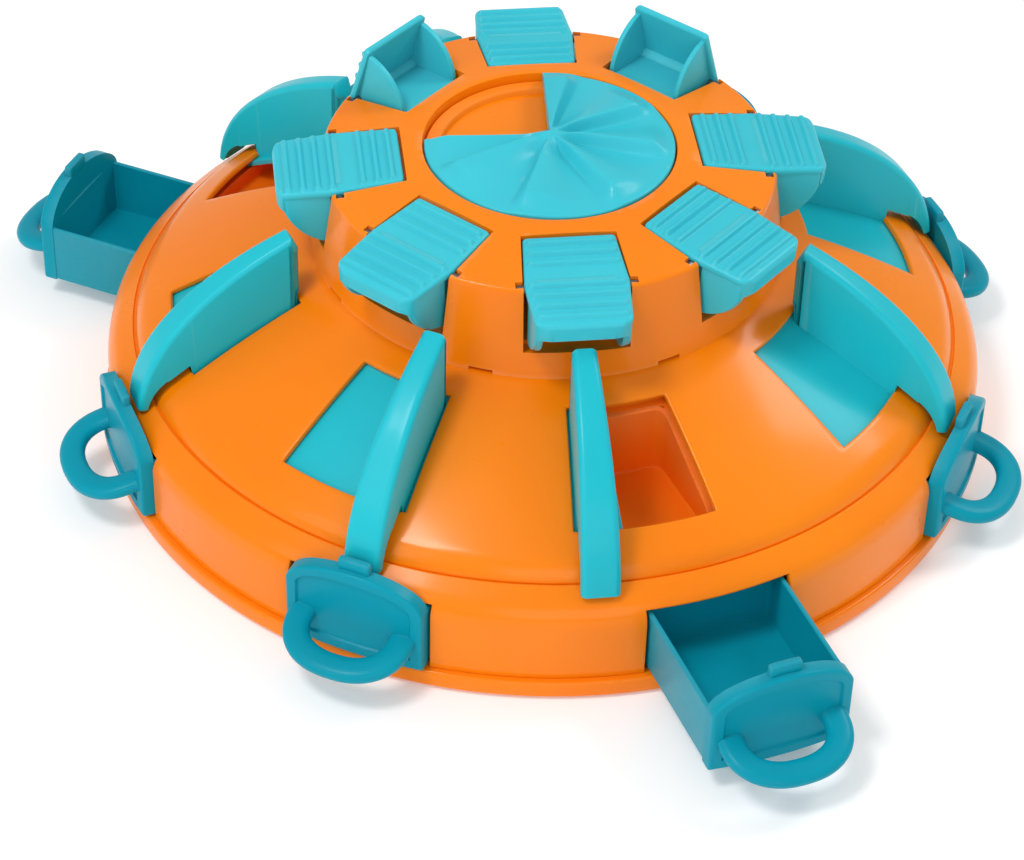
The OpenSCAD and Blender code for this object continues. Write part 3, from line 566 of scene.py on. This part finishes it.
def finUnder(r, p=gate):
    # a fin clears the dome by its lift, and reaches down to its cover plate inside the window
    roll = domeRoll(-p["lift"], 40)
    low = np.where(r < roll[0, 0], domeH(r) + p["lift"], np.interp(r, roll[:, 0], roll[:, 1]))
    low = np.where(r > roll[-1, 0], seatH, low)
    return np.where((r >= p["footIn"]) & (r <= p["footOut"]), domeH(r) - p["plateDrop"] - p["footSink"], low)


def finBack(r, p=gate):
    # the back is part of an ellipse, hollowed where the lid's nose swings past and rounded at the inner end
    back = p["sweepZ"] + p["sweepH"] * np.sqrt(1 - ((r - p["tipR"] + p["sweepL"]) / p["sweepL"]) ** 2)
    hollow = pivotH - np.sqrt(np.maximum(p["noseClear"] ** 2 - (r - pivotR) ** 2, 0))
    back = np.where(r - pivotR < p["noseClear"] - 0.05, np.minimum(back, hollow), back)
    return np.maximum(back - roundOff(r - p["innerR"], p["endRound"]), finUnder(r) + 0.2)


def finSurface(p=gate):
    # upright cross-sections from the tower to the tip; the rounded corners follow the back line inside it
    roll = domeRoll(-p["lift"], 40)[:, 0]
    r = np.unique(np.round(np.concatenate([
        p["innerR"] + p["endRound"] * (1 - np.cos(np.linspace(0, 90, 8) * deg)),
        np.linspace(p["footIn"], p["footOut"], 60), np.linspace(p["footOut"], roll[0], 8), roll,
        p["tipR"] - p["tipSamples"] * (1 - np.sqrt(np.linspace(0, 1, 16))),
        [p["footIn"] - 0.02, p["footOut"] + 0.02]]), 3))
    r = r[r < p["tipR"] - 0.02]
    top = finBack(r)
    along, up = np.gradient(r), np.gradient(top)
    normal = np.stack([-up, along], -1) / np.hypot(along, up)[:, None]
    turn = np.linspace(0, 90, 7) * deg
    lower, inset = p["corner"] * (1 - np.sin(turn)), p["corner"] * (1 - np.cos(turn))
    lower = np.concatenate([lower, np.zeros(3), lower[::-1]])
    inset = np.concatenate([inset, np.full(3, p["corner"]), inset[::-1]])
    side = np.concatenate([np.ones(7), [0.5, 0, -0.5], -np.ones(7)])
    x = r[:, None] - normal[:, :1] * lower
    y = side * (x * np.tan(p["halfAngle"] * deg) - roundOff(r - p["innerR"], p["endRound"])[:, None] - inset)
    base = finUnder(x)
    return loft(xyz(x, y, np.maximum(top[:, None] - normal[:, 1:] * lower, base + 0.05)), xyz(x, y, base))


def coverPlate(p=gate):
    # a sector that follows the dome at a steady depth below it
    r = np.linspace(p["plateIn"], p["plateOut"], 24)
    a = np.linspace(-p["plateBack"], p["plateFront"], 40)[:, None]
    h = domeH(r) - p["plateDrop"]
    return loft(polar(r, a, h), polar(r, a, h - p["plateThick"]))


gateParts = [finSurface(), coverPlate()]
for k in range(1, unitCount + 1):
    turn = (k - 1) * unitStep - joints[f"gate_{k}_swing"]["range_deg"][1]
    parts = [turned(s, turn) for s in gateParts]
    makePiece(f"gateFin_{k}", parts, f"gate_{k}", materials["gateTurquoise"], 45)
print("stage 5: gates made")


def domeSurface(p=dome):
    # the line from the shelf under the tower to the seat, turned round Z, without the faces of the windows
    rings = np.concatenate([np.linspace(p["shelfR"], towerR, 3), np.linspace(towerR, p["windowIn"], 7)[1:],
                            np.linspace(p["windowIn"], p["windowOut"], 25)[1:],
                            np.linspace(p["windowOut"], p["edgeR"], 6)[1:-1]])
    line = np.stack([rings, np.where(rings < towerR, towerFoot, domeH(rings))], -1)
    profile = np.concatenate([line, domeRoll(0, 14)])[::-1]
    inside, outside = 14, 16
    one = np.concatenate([np.linspace(-p["windowBack"], p["windowFront"], inside, endpoint=False),
                          np.linspace(p["windowFront"], unitStep - p["windowBack"], outside, endpoint=False)])
    a = np.concatenate([one + k * unitStep for k in range(unitCount)])
    middle = (profile[1:, 0] + profile[:-1, 0]) / 2
    isWindow = np.tile(np.arange(inside + outside) < inside, unitCount)[:, None]
    isWindow = isWindow & (middle > p["windowIn"]) & (middle < p["windowOut"])
    return grid(polar(profile[:, 0], a[:, None], profile[:, 1]), closeU=True, keep=~isWindow)


piece = makePiece("domeSkin", [domeSurface()], "dome_cover", materials["shellOrange"], outward=False)
addWall(piece, dome["skin"], dome["edgeRound"])
print("stage 6: dome made")

# Tower: a turned solid with a bay for each lid, notches for the pins and latch slits at the foot
tower = {
    "draft": 4.5, "roundH": 112, "edgeH": 115, "edgeIn": 2, "mouthR": 47, "ledgeR": 43.3, "ledgeH": 114,
    "bayIn": 24.6, "bayHalfIn": 17.2, "bayHalf": 19.2, "bayR": 22.3, "bayOuterR": 23.93, "bayLedge": 1.87,
    "bayReach": 14, "bayTop": 20, "slitLong": 9, "slitHigh": 1.6, "slitDeep": 9, "notchWide": 3,
    "notchInto": 2.6, "notchHigh": 9, "edgeRound": 0.8, "edgeAngle": 35,
}


def prism(outline, low, high, axis):
    # an outline pushed along one axis from low to high
    n = len(outline)
    points = np.concatenate([np.insert(outline, axis, v, axis=1) for v in (low, high)])
    j = np.arange(n)
    sides = np.stack([j, (j + 1) % n, (j + 1) % n + n, j + n], -1)
    return points, sides.tolist() + [list(range(n))[::-1], list(range(n, 2 * n))]


def boxSolid(x0, x1, y0, y1, z0, z1):
    return prism(np.array([[x0, y0], [x1, y0], [x1, y1], [x0, y1]], float), z0, z1, 2)


def solidObject(name, solids):
    starts = np.cumsum([0] + [len(s[0]) for s in solids[:-1]])
    faces = [[int(v + k) for v in face] for s, k in zip(solids, starts) for face in s[1]]
    mesh = bpy.data.meshes.new(name)
    mesh.from_pydata(np.concatenate([s[0] for s in solids]) * mm, [], faces)
    mend(mesh)
    return newObject(name, mesh)


def carve(obj, cutter, operation="DIFFERENCE"):
    # the cut is worked out once and kept as a plain mesh
    cut = obj.modifiers.new("cut", "BOOLEAN")
    cut.operation = operation
    cut.solver = "EXACT"
    cut.object = cutter
    graph = bpy.context.evaluated_depsgraph_get()
    mesh = bpy.data.meshes.new_from_object(obj.evaluated_get(graph))
    obj.modifiers.remove(cut)
    obj.data = mesh
    bpy.data.objects.remove(cutter)


def baySolid(p=tower):
    # a trough that the cheeks swing in, the lid's plan above the pin, and a ledge under its inner end
    reach, half = p["bayReach"], p["bayHalf"]
    trough = np.concatenate([[[reach, 0], [-p["bayR"], 0]], arc(0, 0, p["bayR"], 184, 270, 24),
                             arc(0, 0, p["bayOuterR"], 270.5, 300, 10),
                             [[reach, -p["bayOuterR"] * np.sin(60 * deg)]]])
    x = np.array([-p["bayR"], 0, reach])
    y = np.interp(x, [-p["bayIn"], 0], [p["bayHalfIn"], half])
    plan = np.concatenate([np.stack([x, y], -1), np.stack([x, -y], -1)[::-1]])
    tail = np.array([[-p["bayIn"], p["bayHalfIn"]], [0.1 - p["bayR"], y[0]], [0.1 - p["bayR"], -y[0]],
                     [-p["bayIn"], -p["bayHalfIn"]]])
    bay = solidObject("bay", [prism(trough, -half, half, 1)])
    for solid in (prism(plan, -0.5, p["bayTop"], 2), prism(tail, p["bayLedge"], p["bayTop"], 2)):
        carve(bay, solidObject("bayPart", [solid]), "UNION")
    points = np.array([v.co for v in bay.data.vertices]) / mm
    faces = [list(f.vertices) for f in bay.data.polygons]
    bpy.data.objects.remove(bay)
    return points, faces


def towerProfile(p=tower):
    # up the sloping wall, round the shoulder, over the deck to the mouth and down to the bowl's ledge
    top = towerR - p["draft"]
    shoulder = bend([top, p["roundH"]], [top, p["edgeH"] + 0.2], [top - p["edgeIn"], p["edgeH"]], 8)
    wall = resample(np.array([[towerR, towerFoot], [top, p["roundH"]]]), 2.5)
    deck = resample(np.array([shoulder[-1], [p["mouthR"] + 0.8, ringH]]), 3)
    return np.concatenate([[[p["ledgeR"], towerFoot]], wall, shoulder[1:], deck[1:],
                           [[p["mouthR"] + 0.2, ringH - 0.2], [p["mouthR"], ringH - 0.8],
                            [p["mouthR"], p["ledgeH"]], [p["ledgeR"], p["ledgeH"]]]])


def towerPiece(p=tower):
    body = makePiece("towerCrown", [revolve(towerProfile(), 288)], "tower_crown", materials["shellOrange"],
                     fill=True)
    bay = baySolid()
    slit = boxSolid(towerR - p["slitDeep"], towerR + 1, -p["slitLong"] / 2, p["slitLong"] / 2, towerFoot - 1,
                    towerFoot + p["slitHigh"])
    bays, small = [], []
    for k in range(unitCount):
        turn = k * unitStep - lidOffset
        bays.append(turned(moved(bay, x=pivotR, z=pivotH), turn))
        small.append(turned(slit, turn + unitStep / 2))
        for side in (-1, 1):
            y = sorted([side * (p["bayHalf"] - 0.5), side * (p["bayHalf"] + p["notchInto"])])
            notch = boxSolid(-p["notchWide"] / 2, p["notchWide"] / 2, *y, -1, p["notchHigh"])
            small.append(turned(moved(notch, x=pivotR, z=pivotH), turn))
    carve(body, solidObject("bays", bays))
    carve(body, solidObject("slits", small))
    addBevel(body, p["edgeRound"], p["edgeAngle"])
    body.data.set_sharp_from_angle(angle=p["edgeAngle"] * deg)


towerPiece()
print("stage 7: tower made")

# Base: a wall with the drawer openings, and a pan with rails, posts and bosses
base = {
    "footH": 8, "floorTop": 3.4, "ledgeR": 157.3, "ledgeH": 43.6, "shoulderH": 36.2, "shoulderRound": 6.5,
    "lipIn": 145.3, "wall": 2.6, "footStep": 2.5, "openHalf": 27.4, "openTop": 35.4, "recessR": 165.6,
    "edgeRound": 0.7, "ringRound": 1.2, "railIn": 106.2, "railOut": 159.9, "railY": 19.9, "guideY": 26.7,
    "railW": 2.4, "railTop": 9.2, "guideTop": 11.2, "stopIn": 103.3, "sink": 0.2, "postR": 82,
    "postHalf": 5.2, "posts": 4, "postTop": 77.2, "bossHalf": 9, "bossTop": 6, "bossR": 149.5,
}


def wallProfile(p=base):
    # from the ledge by the dome over the shoulder and down to the foot ring
    wallR = baseR - p["footStep"]
    slope = np.arctan2(p["ledgeH"] - p["shoulderH"], wallR - p["ledgeR"])
    ledge = np.array([p["ledgeR"], p["ledgeH"]])
    edge = np.array([wallR, p["shoulderH"]])
    along = edge + p["shoulderRound"] * np.array([-np.cos(slope), np.sin(slope)])
    corner = bend(along, edge, edge - [0, p["shoulderRound"]], 13)
    down = np.linspace(corner[-1, 1], p["footH"], 9)[1:]
    return np.concatenate([resample(np.array([[p["lipIn"], seatH], [p["ledgeR"], seatH]]), 4),
                           resample(np.stack([ledge, along]), 1.5), corner[1:],
                           np.stack([np.full(8, wallR), down], -1)])


def wallSurface(p=base):
    # an opening's sides keep to straight lines: their angle is the arcsine of half its width over the radius
    profile = wallProfile()[::-1]
    r, h = profile[:, 0], profile[:, 1]
    cut = np.arcsin(p["openHalf"] / r)[:, None] / deg
    inside, outside = 12, 10
    one = np.concatenate([np.linspace(-1, 1, inside, endpoint=False) * cut,
                          cut + (unitStep - 2 * cut) * np.linspace(0, 1, outside, endpoint=False)], 1)
    a = np.concatenate([one + k * unitStep for k in range(unitCount)], 1).T
    middleR, middleH = (r[1:] + r[:-1]) / 2, (h[1:] + h[:-1]) / 2
    isOpening = np.tile(np.arange(inside + outside) < inside, unitCount)[:, None]
    isOpening = isOpening & ((middleH < p["openTop"]) | (middleR > p["recessR"]))
    return grid(polar(r, a, h), closeU=True, keep=~isOpening)


def panProfile(p=base):
    # from the middle of the underside, round the foot ring and back along the floor
    ring, foot, outer = p["ringRound"], restGap, baseR - p["ringRound"]
    inner = baseR - p["footStep"] - p["wall"]
    return np.concatenate([[[0, foot]], arc(outer, foot + ring, ring, -90, 0, 6),
                           arc(outer, p["footH"] - ring, ring, 0, 90, 6),
                           [[inner, p["footH"]], [inner, p["floorTop"]], [0, p["floorTop"]]]])


def panParts(p=base):
    # each drawer runs on two rails between two guides, with a stop behind it
    low = p["floorTop"] - p["sink"]
    rails = [block(p["stopIn"], p["stopIn"] + p["railW"], -p["railY"], p["railY"], low, p["guideTop"])]
    for side in (-1, 1):
        for y, top in ((p["railY"], p["railTop"]), (p["guideY"], p["guideTop"])):
            y0, y1 = sorted([side * y, side * (y + p["railW"])])
            rails.append(block(p["railIn"], p["railOut"], y0, y1, low, top))
    boss = rod(p["bossHalf"], low, p["bossTop"], 40)
    post = moved(rod(p["postHalf"], low, p["postTop"], 40), x=p["postR"])
    parts = [revolve(panProfile(), 288), boss]
    parts += [turned(s, k * unitStep) for k in range(unitCount) for s in rails]
    for k in range(p["posts"]):
        turn = k * 360 / p["posts"] + unitStep / 2
        parts += [turned(post, turn - lidOffset), turned(moved(boss, x=p["bossR"]), turn)]
    return parts


piece = makePiece("baseWall", [wallSurface()], "base_wall", materials["shellOrange"], outward=False)
addWall(piece, base["wall"], base["edgeRound"])
makePiece("basePan", panParts(), "base_pan", materials["shellOrange"])
print("stage 8: base made")

# Centre bowl and treat wells
bowl = {
    "r": 46.4, "top": 116, "rimUnder": 114, "wallR": 42.8, "wall": 2, "draft": 3.8, "floor": 100, "under": 98,
    "bossR": 7, "boreR": 4.05, "round": 2.5, "edge": 0.4,
}
well = {
    "r0": 100.5, "r1": 141.8, "a0": -17.4, "a1": 2.4, "floor": 43, "wall": 1.8, "corner": 4, "under": 41.2,
    "ringIn": (92, 96.8), "ringOut": (145.5, 148.6), "drop": 5.4, "ringDrop": 2.5, "half": 22.3, "rim": 0.9,
    "side": 0.4,
}


def bowlProfile(p=bowl):
    # along the underside, up the outside, over the rim, down to the floor, up the boss and down its bore
    inner, top, edge, turn = p["wallR"] - p["wall"], p["top"], p["edge"], p["round"]
    low = inner - p["draft"]
    return np.concatenate([
        [[p["boreR"], p["under"]], [p["wallR"] - p["draft"], p["under"]], [p["wallR"], p["rimUnder"]],
         [p["r"], p["rimUnder"]], [p["r"], top - edge], [p["r"] - edge, top], [inner + 0.5, top],
         [inner - 0.1, top - 0.6]],
        bend([low + 0.5, p["floor"] + turn], [low, p["floor"]], [low - turn, p["floor"]], 6),
        bend([p["bossR"] + turn, p["floor"]], [p["bossR"], p["floor"]], [p["bossR"], p["floor"] + turn], 6),
        [[p["bossR"], top - 0.5], [p["bossR"] - 0.5, top], [p["boreR"], top], [p["boreR"], p["under"]]]])


def wellLoop(inset, corner, height, n=6, p=well):
    # the outline of a well: two arcs round the toy's axis and two straight sides, with round corners
    r0, r1 = p["r0"] + inset, p["r1"] - inset
    side = inset / r0 / deg
    a0, a1 = p["a0"] + side, p["a1"] - side
    turn = np.linspace(0, 90, n) * deg
    c0, c1 = corner / r0 / deg, corner / r1 / deg
    r = np.concatenate([r1 - corner + corner * np.sin(turn), r1 - corner + corner * np.cos(turn),
                        r0 + corner - corner * np.sin(turn), r0 + corner - corner * np.cos(turn)])
    a = np.concatenate([a0 + c1 - c1 * np.cos(turn), a1 - c1 + c1 * np.sin(turn),
                        a1 - c0 + c0 * np.cos(turn), a0 + c0 - c0 * np.sin(turn)])
    mid = np.linspace(0, 1, 8)[1:-1]  # the long sides get middle points, so that they follow the arcs
    r = np.concatenate([r[:n], np.full(6, r1), r[n:3 * n], np.full(6, r0), r[3 * n:]])
    a = np.concatenate([a[:n], a[n - 1] + (a[n] - a[n - 1]) * mid, a[n:3 * n],
                        a[3 * n - 1] + (a[3 * n] - a[3 * n - 1]) * mid, a[3 * n:]])
    return polar(r, a, domeH(r) - p["drop"] if height is None else height)


def wellSurface(p=well):
    # from the middle of the underside, up the outside, over the rim and down to the middle of the floor
    outside = [wellLoop(-p["wall"], p["corner"] + p["wall"], z) for z in (p["under"], None)]
    inside = [wellLoop(inset, p["corner"], z) for inset, z in (
        (0, None), (0, p["floor"] + 1.6), (0, p["floor"] + 0.5), (0.5, p["floor"] + 0.1), (1.6, p["floor"]))]
    return bag(outside + inside)


def trayDeck(p=well):
    # the sheet round a well: it lies under the dome at both ends and dips between for the gate
    keepIn, keepOut = p["r0"] - p["rim"], p["r1"] + p["rim"]
    inner, outer = p["ringIn"], p["ringOut"]
    r = [[*inner, inner[1] + 0.1], np.linspace(keepIn, keepOut, 16), [outer[0] - 0.1, *outer]]
    r = np.concatenate(r)[::-1]
    h = domeH(r) - np.where((r <= inner[1]) | (r >= outer[0]), p["ringDrop"], p["drop"])
    middle = (p["a0"] + p["a1"]) / 2
    a0, a1 = p["a0"] - p["side"], p["a1"] + p["side"]
    a = np.concatenate([np.linspace(middle - p["half"], a0, 6), np.linspace(a0, a1, 10)[1:],
                        np.linspace(a1, middle + p["half"], 6)[1:]])
    aMid, rMid = (a[1:] + a[:-1])[:, None] / 2, (r[1:] + r[:-1]) / 2
    isWell = (aMid > a0) & (aMid < a1) & (rMid > keepIn) & (rMid < keepOut)
    return grid(polar(r, a[:, None], h), keep=~isWell)


def sheet(surface, thick):
    # a thin sheet closed round its open edges, its underside lower by its thickness
    points, faces = surface
    n = len(points)
    edges = np.concatenate([faces[:, [0, 1]], faces[:, [1, 2]], faces[:, [2, 3]], faces[:, [3, 0]]])
    rim = edges[~np.isin(edges[:, 0] * n + edges[:, 1], edges[:, 1] * n + edges[:, 0])]
    walls = np.stack([rim[:, 1], rim[:, 0], rim[:, 0] + n, rim[:, 1] + n], -1)
    lower = points - np.array([0, 0, thick])
    return np.concatenate([points, lower]), np.concatenate([faces, faces[:, ::-1] + n, walls])


makePiece("centreBowl", [revolve(bowlProfile(), 160)], "centre_bowl", materials["shellOrange"], 35)
wellParts = [wellSurface(), sheet(trayDeck(), well["wall"])]
for k in range(1, unitCount + 1):
    parts = [turned(s, (k - 1) * unitStep) for s in wellParts]
    # the wells get the redder orange, painted shade for the bounced light inside them
    makePiece(f"wellTray_{k}", parts, f"well_tray_{k}", materials["wellOrangePaintedShade"])
print("stage 9: bowl and wells made")

# Drawers: an open box behind an arched front with a handle, a tab on top and two stop tabs at the back
drawer = {
    "in": 106.2, "out": 167.2, "half": 26.2, "low": 9.2, "high": 34.2, "wall": 1.8, "corner": 3,
    "cornerIn": 2, "frontR": 166.2, "frontThick": 5.6, "frontHalf": 26.4, "sideH": 24, "archH": 13,
    "border": 4.4, "panelDepth": 1, "tabHalf": 6, "tabTop": 50.2, "tabThick": 3.2, "tabRound": 0.9,
    "edgeRound": 1.1, "stopX": 110.2, "stopLong": 2, "stopHigh": 2.7, "handleHalf": 19.3,
    "handleOut": 16.1, "handleWide": 9.6, "handleThick": 5.6, "handleH": 11.6, "handleDroop": 14,
    "handleCurve": 2.3, "handleRoot": 4,
}


def roundRect(x0, x1, half, r, z):
    # a rectangle with a quarter round of radius r at each corner, at height z
    turn = np.linspace(0, 90, 6) * deg
    s, c = r * np.sin(turn), r * np.cos(turn)
    return xyz(np.concatenate([x1 - r + s, x1 - r + c, x0 + r - s, x0 + r - c]),
               np.concatenate([-half + r - c, half - r + s, half - r + c, -half + r - s]), z)


def boxSurface(p=drawer):
    # from the middle of the underside, up the outside, over the rim and down to the middle of the floor
    x0, x1, half, low, high = p["in"], p["out"], p["half"], p["low"], p["high"]
    xi, xo, hi, floorZ = x0 + p["wall"], p["frontR"] - p["wall"] / 2, half - p["wall"], low + p["wall"]
    outer = [(1, 0, 2, low), (0.3, 0, 2.6, low + 0.3), (0, 0, p["corner"], low + 1),
             (0, 0, p["corner"], high - 0.5), (0.5, 0, p["corner"], high)]
    inner = [(-0.4, 0, high), (0, 0, high - 0.4), (0, 0, floorZ + 1.5), (0.4, 0.4, floorZ + 0.4),
             (1.5, 1.5, floorZ)]
    return bag([roundRect(x0 + a, x1 - b, half - a, r, z) for a, b, r, z in outer]
               + [roundRect(xi + a, xo - b, hi - a, p["cornerIn"], z) for a, b, z in inner])


def frontTop(y, inset=0, p=drawer):
    # half an ellipse on two straight sides
    share = np.clip(np.abs(y) / (p["frontHalf"] - inset), 0, 1)
    return p["low"] + p["sideH"] + (p["archH"] - inset) * np.sqrt(1 - share ** 2)


def frontSurface(p=drawer):
    # upright cross-sections from side to side, round the toy's axis; the middle of the outer face is sunk
    half, low, border = p["frontHalf"], p["low"], p["border"]
    steps = half - border + np.array([-0.5, -0.2, 0.2, 0.5])
    y = np.concatenate([half * np.sin(np.linspace(-90, 90, 101) * deg), steps, -steps])
    y = np.unique(np.round(y, 3))[:, None]
    v = np.concatenate([0.5 - 0.5 * np.cos(np.linspace(0, 180, 62) * deg), np.linspace(0.1, 0.15, 9),
                        np.linspace(0.84, 0.92, 9)])
    top = frontTop(y)
    z = low + (top - low) * np.unique(np.round(v, 4))
    toPanel = np.minimum(half - border - np.abs(y), z - low - border)
    sunk = smoothStep(np.minimum(toPanel, (frontTop(y, border) - z) * 0.9), -0.35, 0.45)
    toEdge = np.minimum(np.minimum(half - np.abs(y), z - low), (top - z) * 0.9)
    outer = p["frontR"] + p["frontThick"] - p["panelDepth"] * sunk - roundOff(toEdge, p["edgeRound"])
    return loft(xyz(np.sqrt(outer ** 2 - y ** 2), y, z), xyz(np.sqrt(p["frontR"] ** 2 - y ** 2), y, z))


def signedPower(x, power):
    return np.sign(x) * np.abs(x) ** power


def handleSurface(p=drawer):
    # a thick band swept along half a rounded ellipse; its section is a rounded square
    t = np.linspace(-90, 90, 73) * deg
    half, root = p["handleHalf"], p["handleRoot"]
    x = p["handleOut"] * np.abs(np.cos(t)) ** (2 / p["handleCurve"])
    x = np.concatenate([[-root, -root / 2], x, [-root / 2, -root]])
    y = half * np.concatenate([[-1, -1], signedPower(np.sin(t), 2 / p["handleCurve"]), [1, 1]])
    dx, dy = np.gradient(x)[:, None], np.gradient(y)[:, None]
    length = np.hypot(dx, dy)
    s = fullTurn(28) * deg
    across = p["handleWide"] / 2 * signedPower(np.cos(s), 0.75)
    up = p["handleThick"] / 2 * signedPower(np.sin(s), 0.75)
    band = bag(xyz(x[:, None] + dy / length * across, y[:, None] - dx / length * across, up))
    return moved(tilted(band, p["handleDroop"]), p["frontR"] + p["frontThick"], 0, p["low"] + p["handleH"])


def drawerParts(p=drawer):
    low, high = p["low"] + p["sideH"] + p["archH"] - 2, p["high"] - 0.5
    tab = moved(roundedBar(p["tabThick"], 2 * p["tabHalf"], p["tabTop"] - low, p["tabRound"]),
                p["frontR"] - 0.1, 0, (p["tabTop"] + low) / 2)
    stops = []
    for side in (-1, 1):
        y0, y1 = sorted([side * p["half"], side * (p["half"] - p["wall"])])
        stops.append(block(p["stopX"], p["stopX"] + p["stopLong"], y0, y1, high, high + p["stopHigh"]))
    return [boxSurface(), handleSurface(), tab, *stops, frontSurface()]


shutDrawer = drawerParts()
for k in range(1, unitCount + 1):
    out = drawerTravel + joints[f"drawer_{k}_slide"]["range_m"][0] / mm
    parts = [turned(moved(s, x=out), (k - 1) * unitStep) for s in shutDrawer]
    makePiece(f"drawerBox_{k}", parts, f"drawer_{k}", materials["drawerTeal"])
print("stage 10: drawers made")

# Camera, floor and light
camera = {"place": (-374.8, -875.9, 782.1), "down": 40.07, "heading": 22.5, "roll": -1.56, "focal": 110.1,
          "sensor": 36, "far": 50}
floor = {"size": 12000, "color": (0.9, 0.9, 0.9, 1), "glowColor": (1, 1, 1, 1), "glow": 0.16,
         "roughness": 0.9, "shine": 0.1}
lamps = {
    "key": {"place": (-650, -240, 1330), "size": 320, "power": 7},
    "side": {"place": (1038, 91, 1079), "size": 420, "power": 5},
    "left": {"place": (-1300, -500, 900), "size": 900, "power": 4},
    "front": {"place": (-400, -1500, 700), "size": 900, "power": 3.5},
}
skyLight = {"Color": (1, 1, 1, 1), "Strength": 0.55}


def addCamera(c=camera):
    data = bpy.data.cameras.new("camera")
    data.lens = c["focal"]
    data.sensor_width = c["sensor"]
    data.clip_end = c["far"]
    obj = newObject("camera", data)
    look = Matrix.Rotation(-c["heading"] * deg, 4, "Z") @ Matrix.Rotation((90 - c["down"]) * deg, 4, "X")
    obj.matrix_world = (Matrix.Translation([v * mm for v in c["place"]]) @ look
                        @ Matrix.Rotation(-c["roll"] * deg, 4, "Z"))
    bpy.context.scene.camera = obj


def addFloor(f=floor):
    side = np.linspace(-f["size"] / 2, f["size"] / 2, 3)
    verts, faces = grid(xyz(side[:, None], side, 0))
    mesh = bpy.data.meshes.new("floor")
    mesh.from_pydata(verts * mm, [], faces)
    material, tree, shader = newMaterial("floorPaper")
    setSockets(shader, {"Base Color": f["color"], "Roughness": f["roughness"],
                        "Specular IOR Level": f["shine"], "Emission Color": f["glowColor"],
                        "Emission Strength": f["glow"]})
    mesh.materials.append(material)
    newObject("floor", mesh)


def addLamp(name, lamp):
    # a square area lamp that faces the middle of the toy's floor
    data = bpy.data.lights.new(name, "AREA")
    data.energy = lamp["power"]
    data.size = lamp["size"] * mm
    place = np.array(lamp["place"]) * mm
    away = place / np.linalg.norm(place)
    side = np.cross([0, 0, 1], away)
    side = side / np.linalg.norm(side)
    axes = np.stack([side, np.cross(away, side), away], 1)
    newObject(name, data).matrix_world = Matrix([[*r, v] for r, v in zip(axes, place)] + [[0, 0, 0, 1]])


addCamera()
addFloor()
for lampName, lampLook in lamps.items():
    addLamp(lampName, lampLook)
world = bpy.data.worlds.new("studio")
world.use_nodes = True
setSockets(world.node_tree.nodes["Background"].inputs, skyLight)
bpy.context.scene.world = world
bpy.context.scene.view_settings.view_transform = "Standard"
print("stage 11: camera, floor and light set")
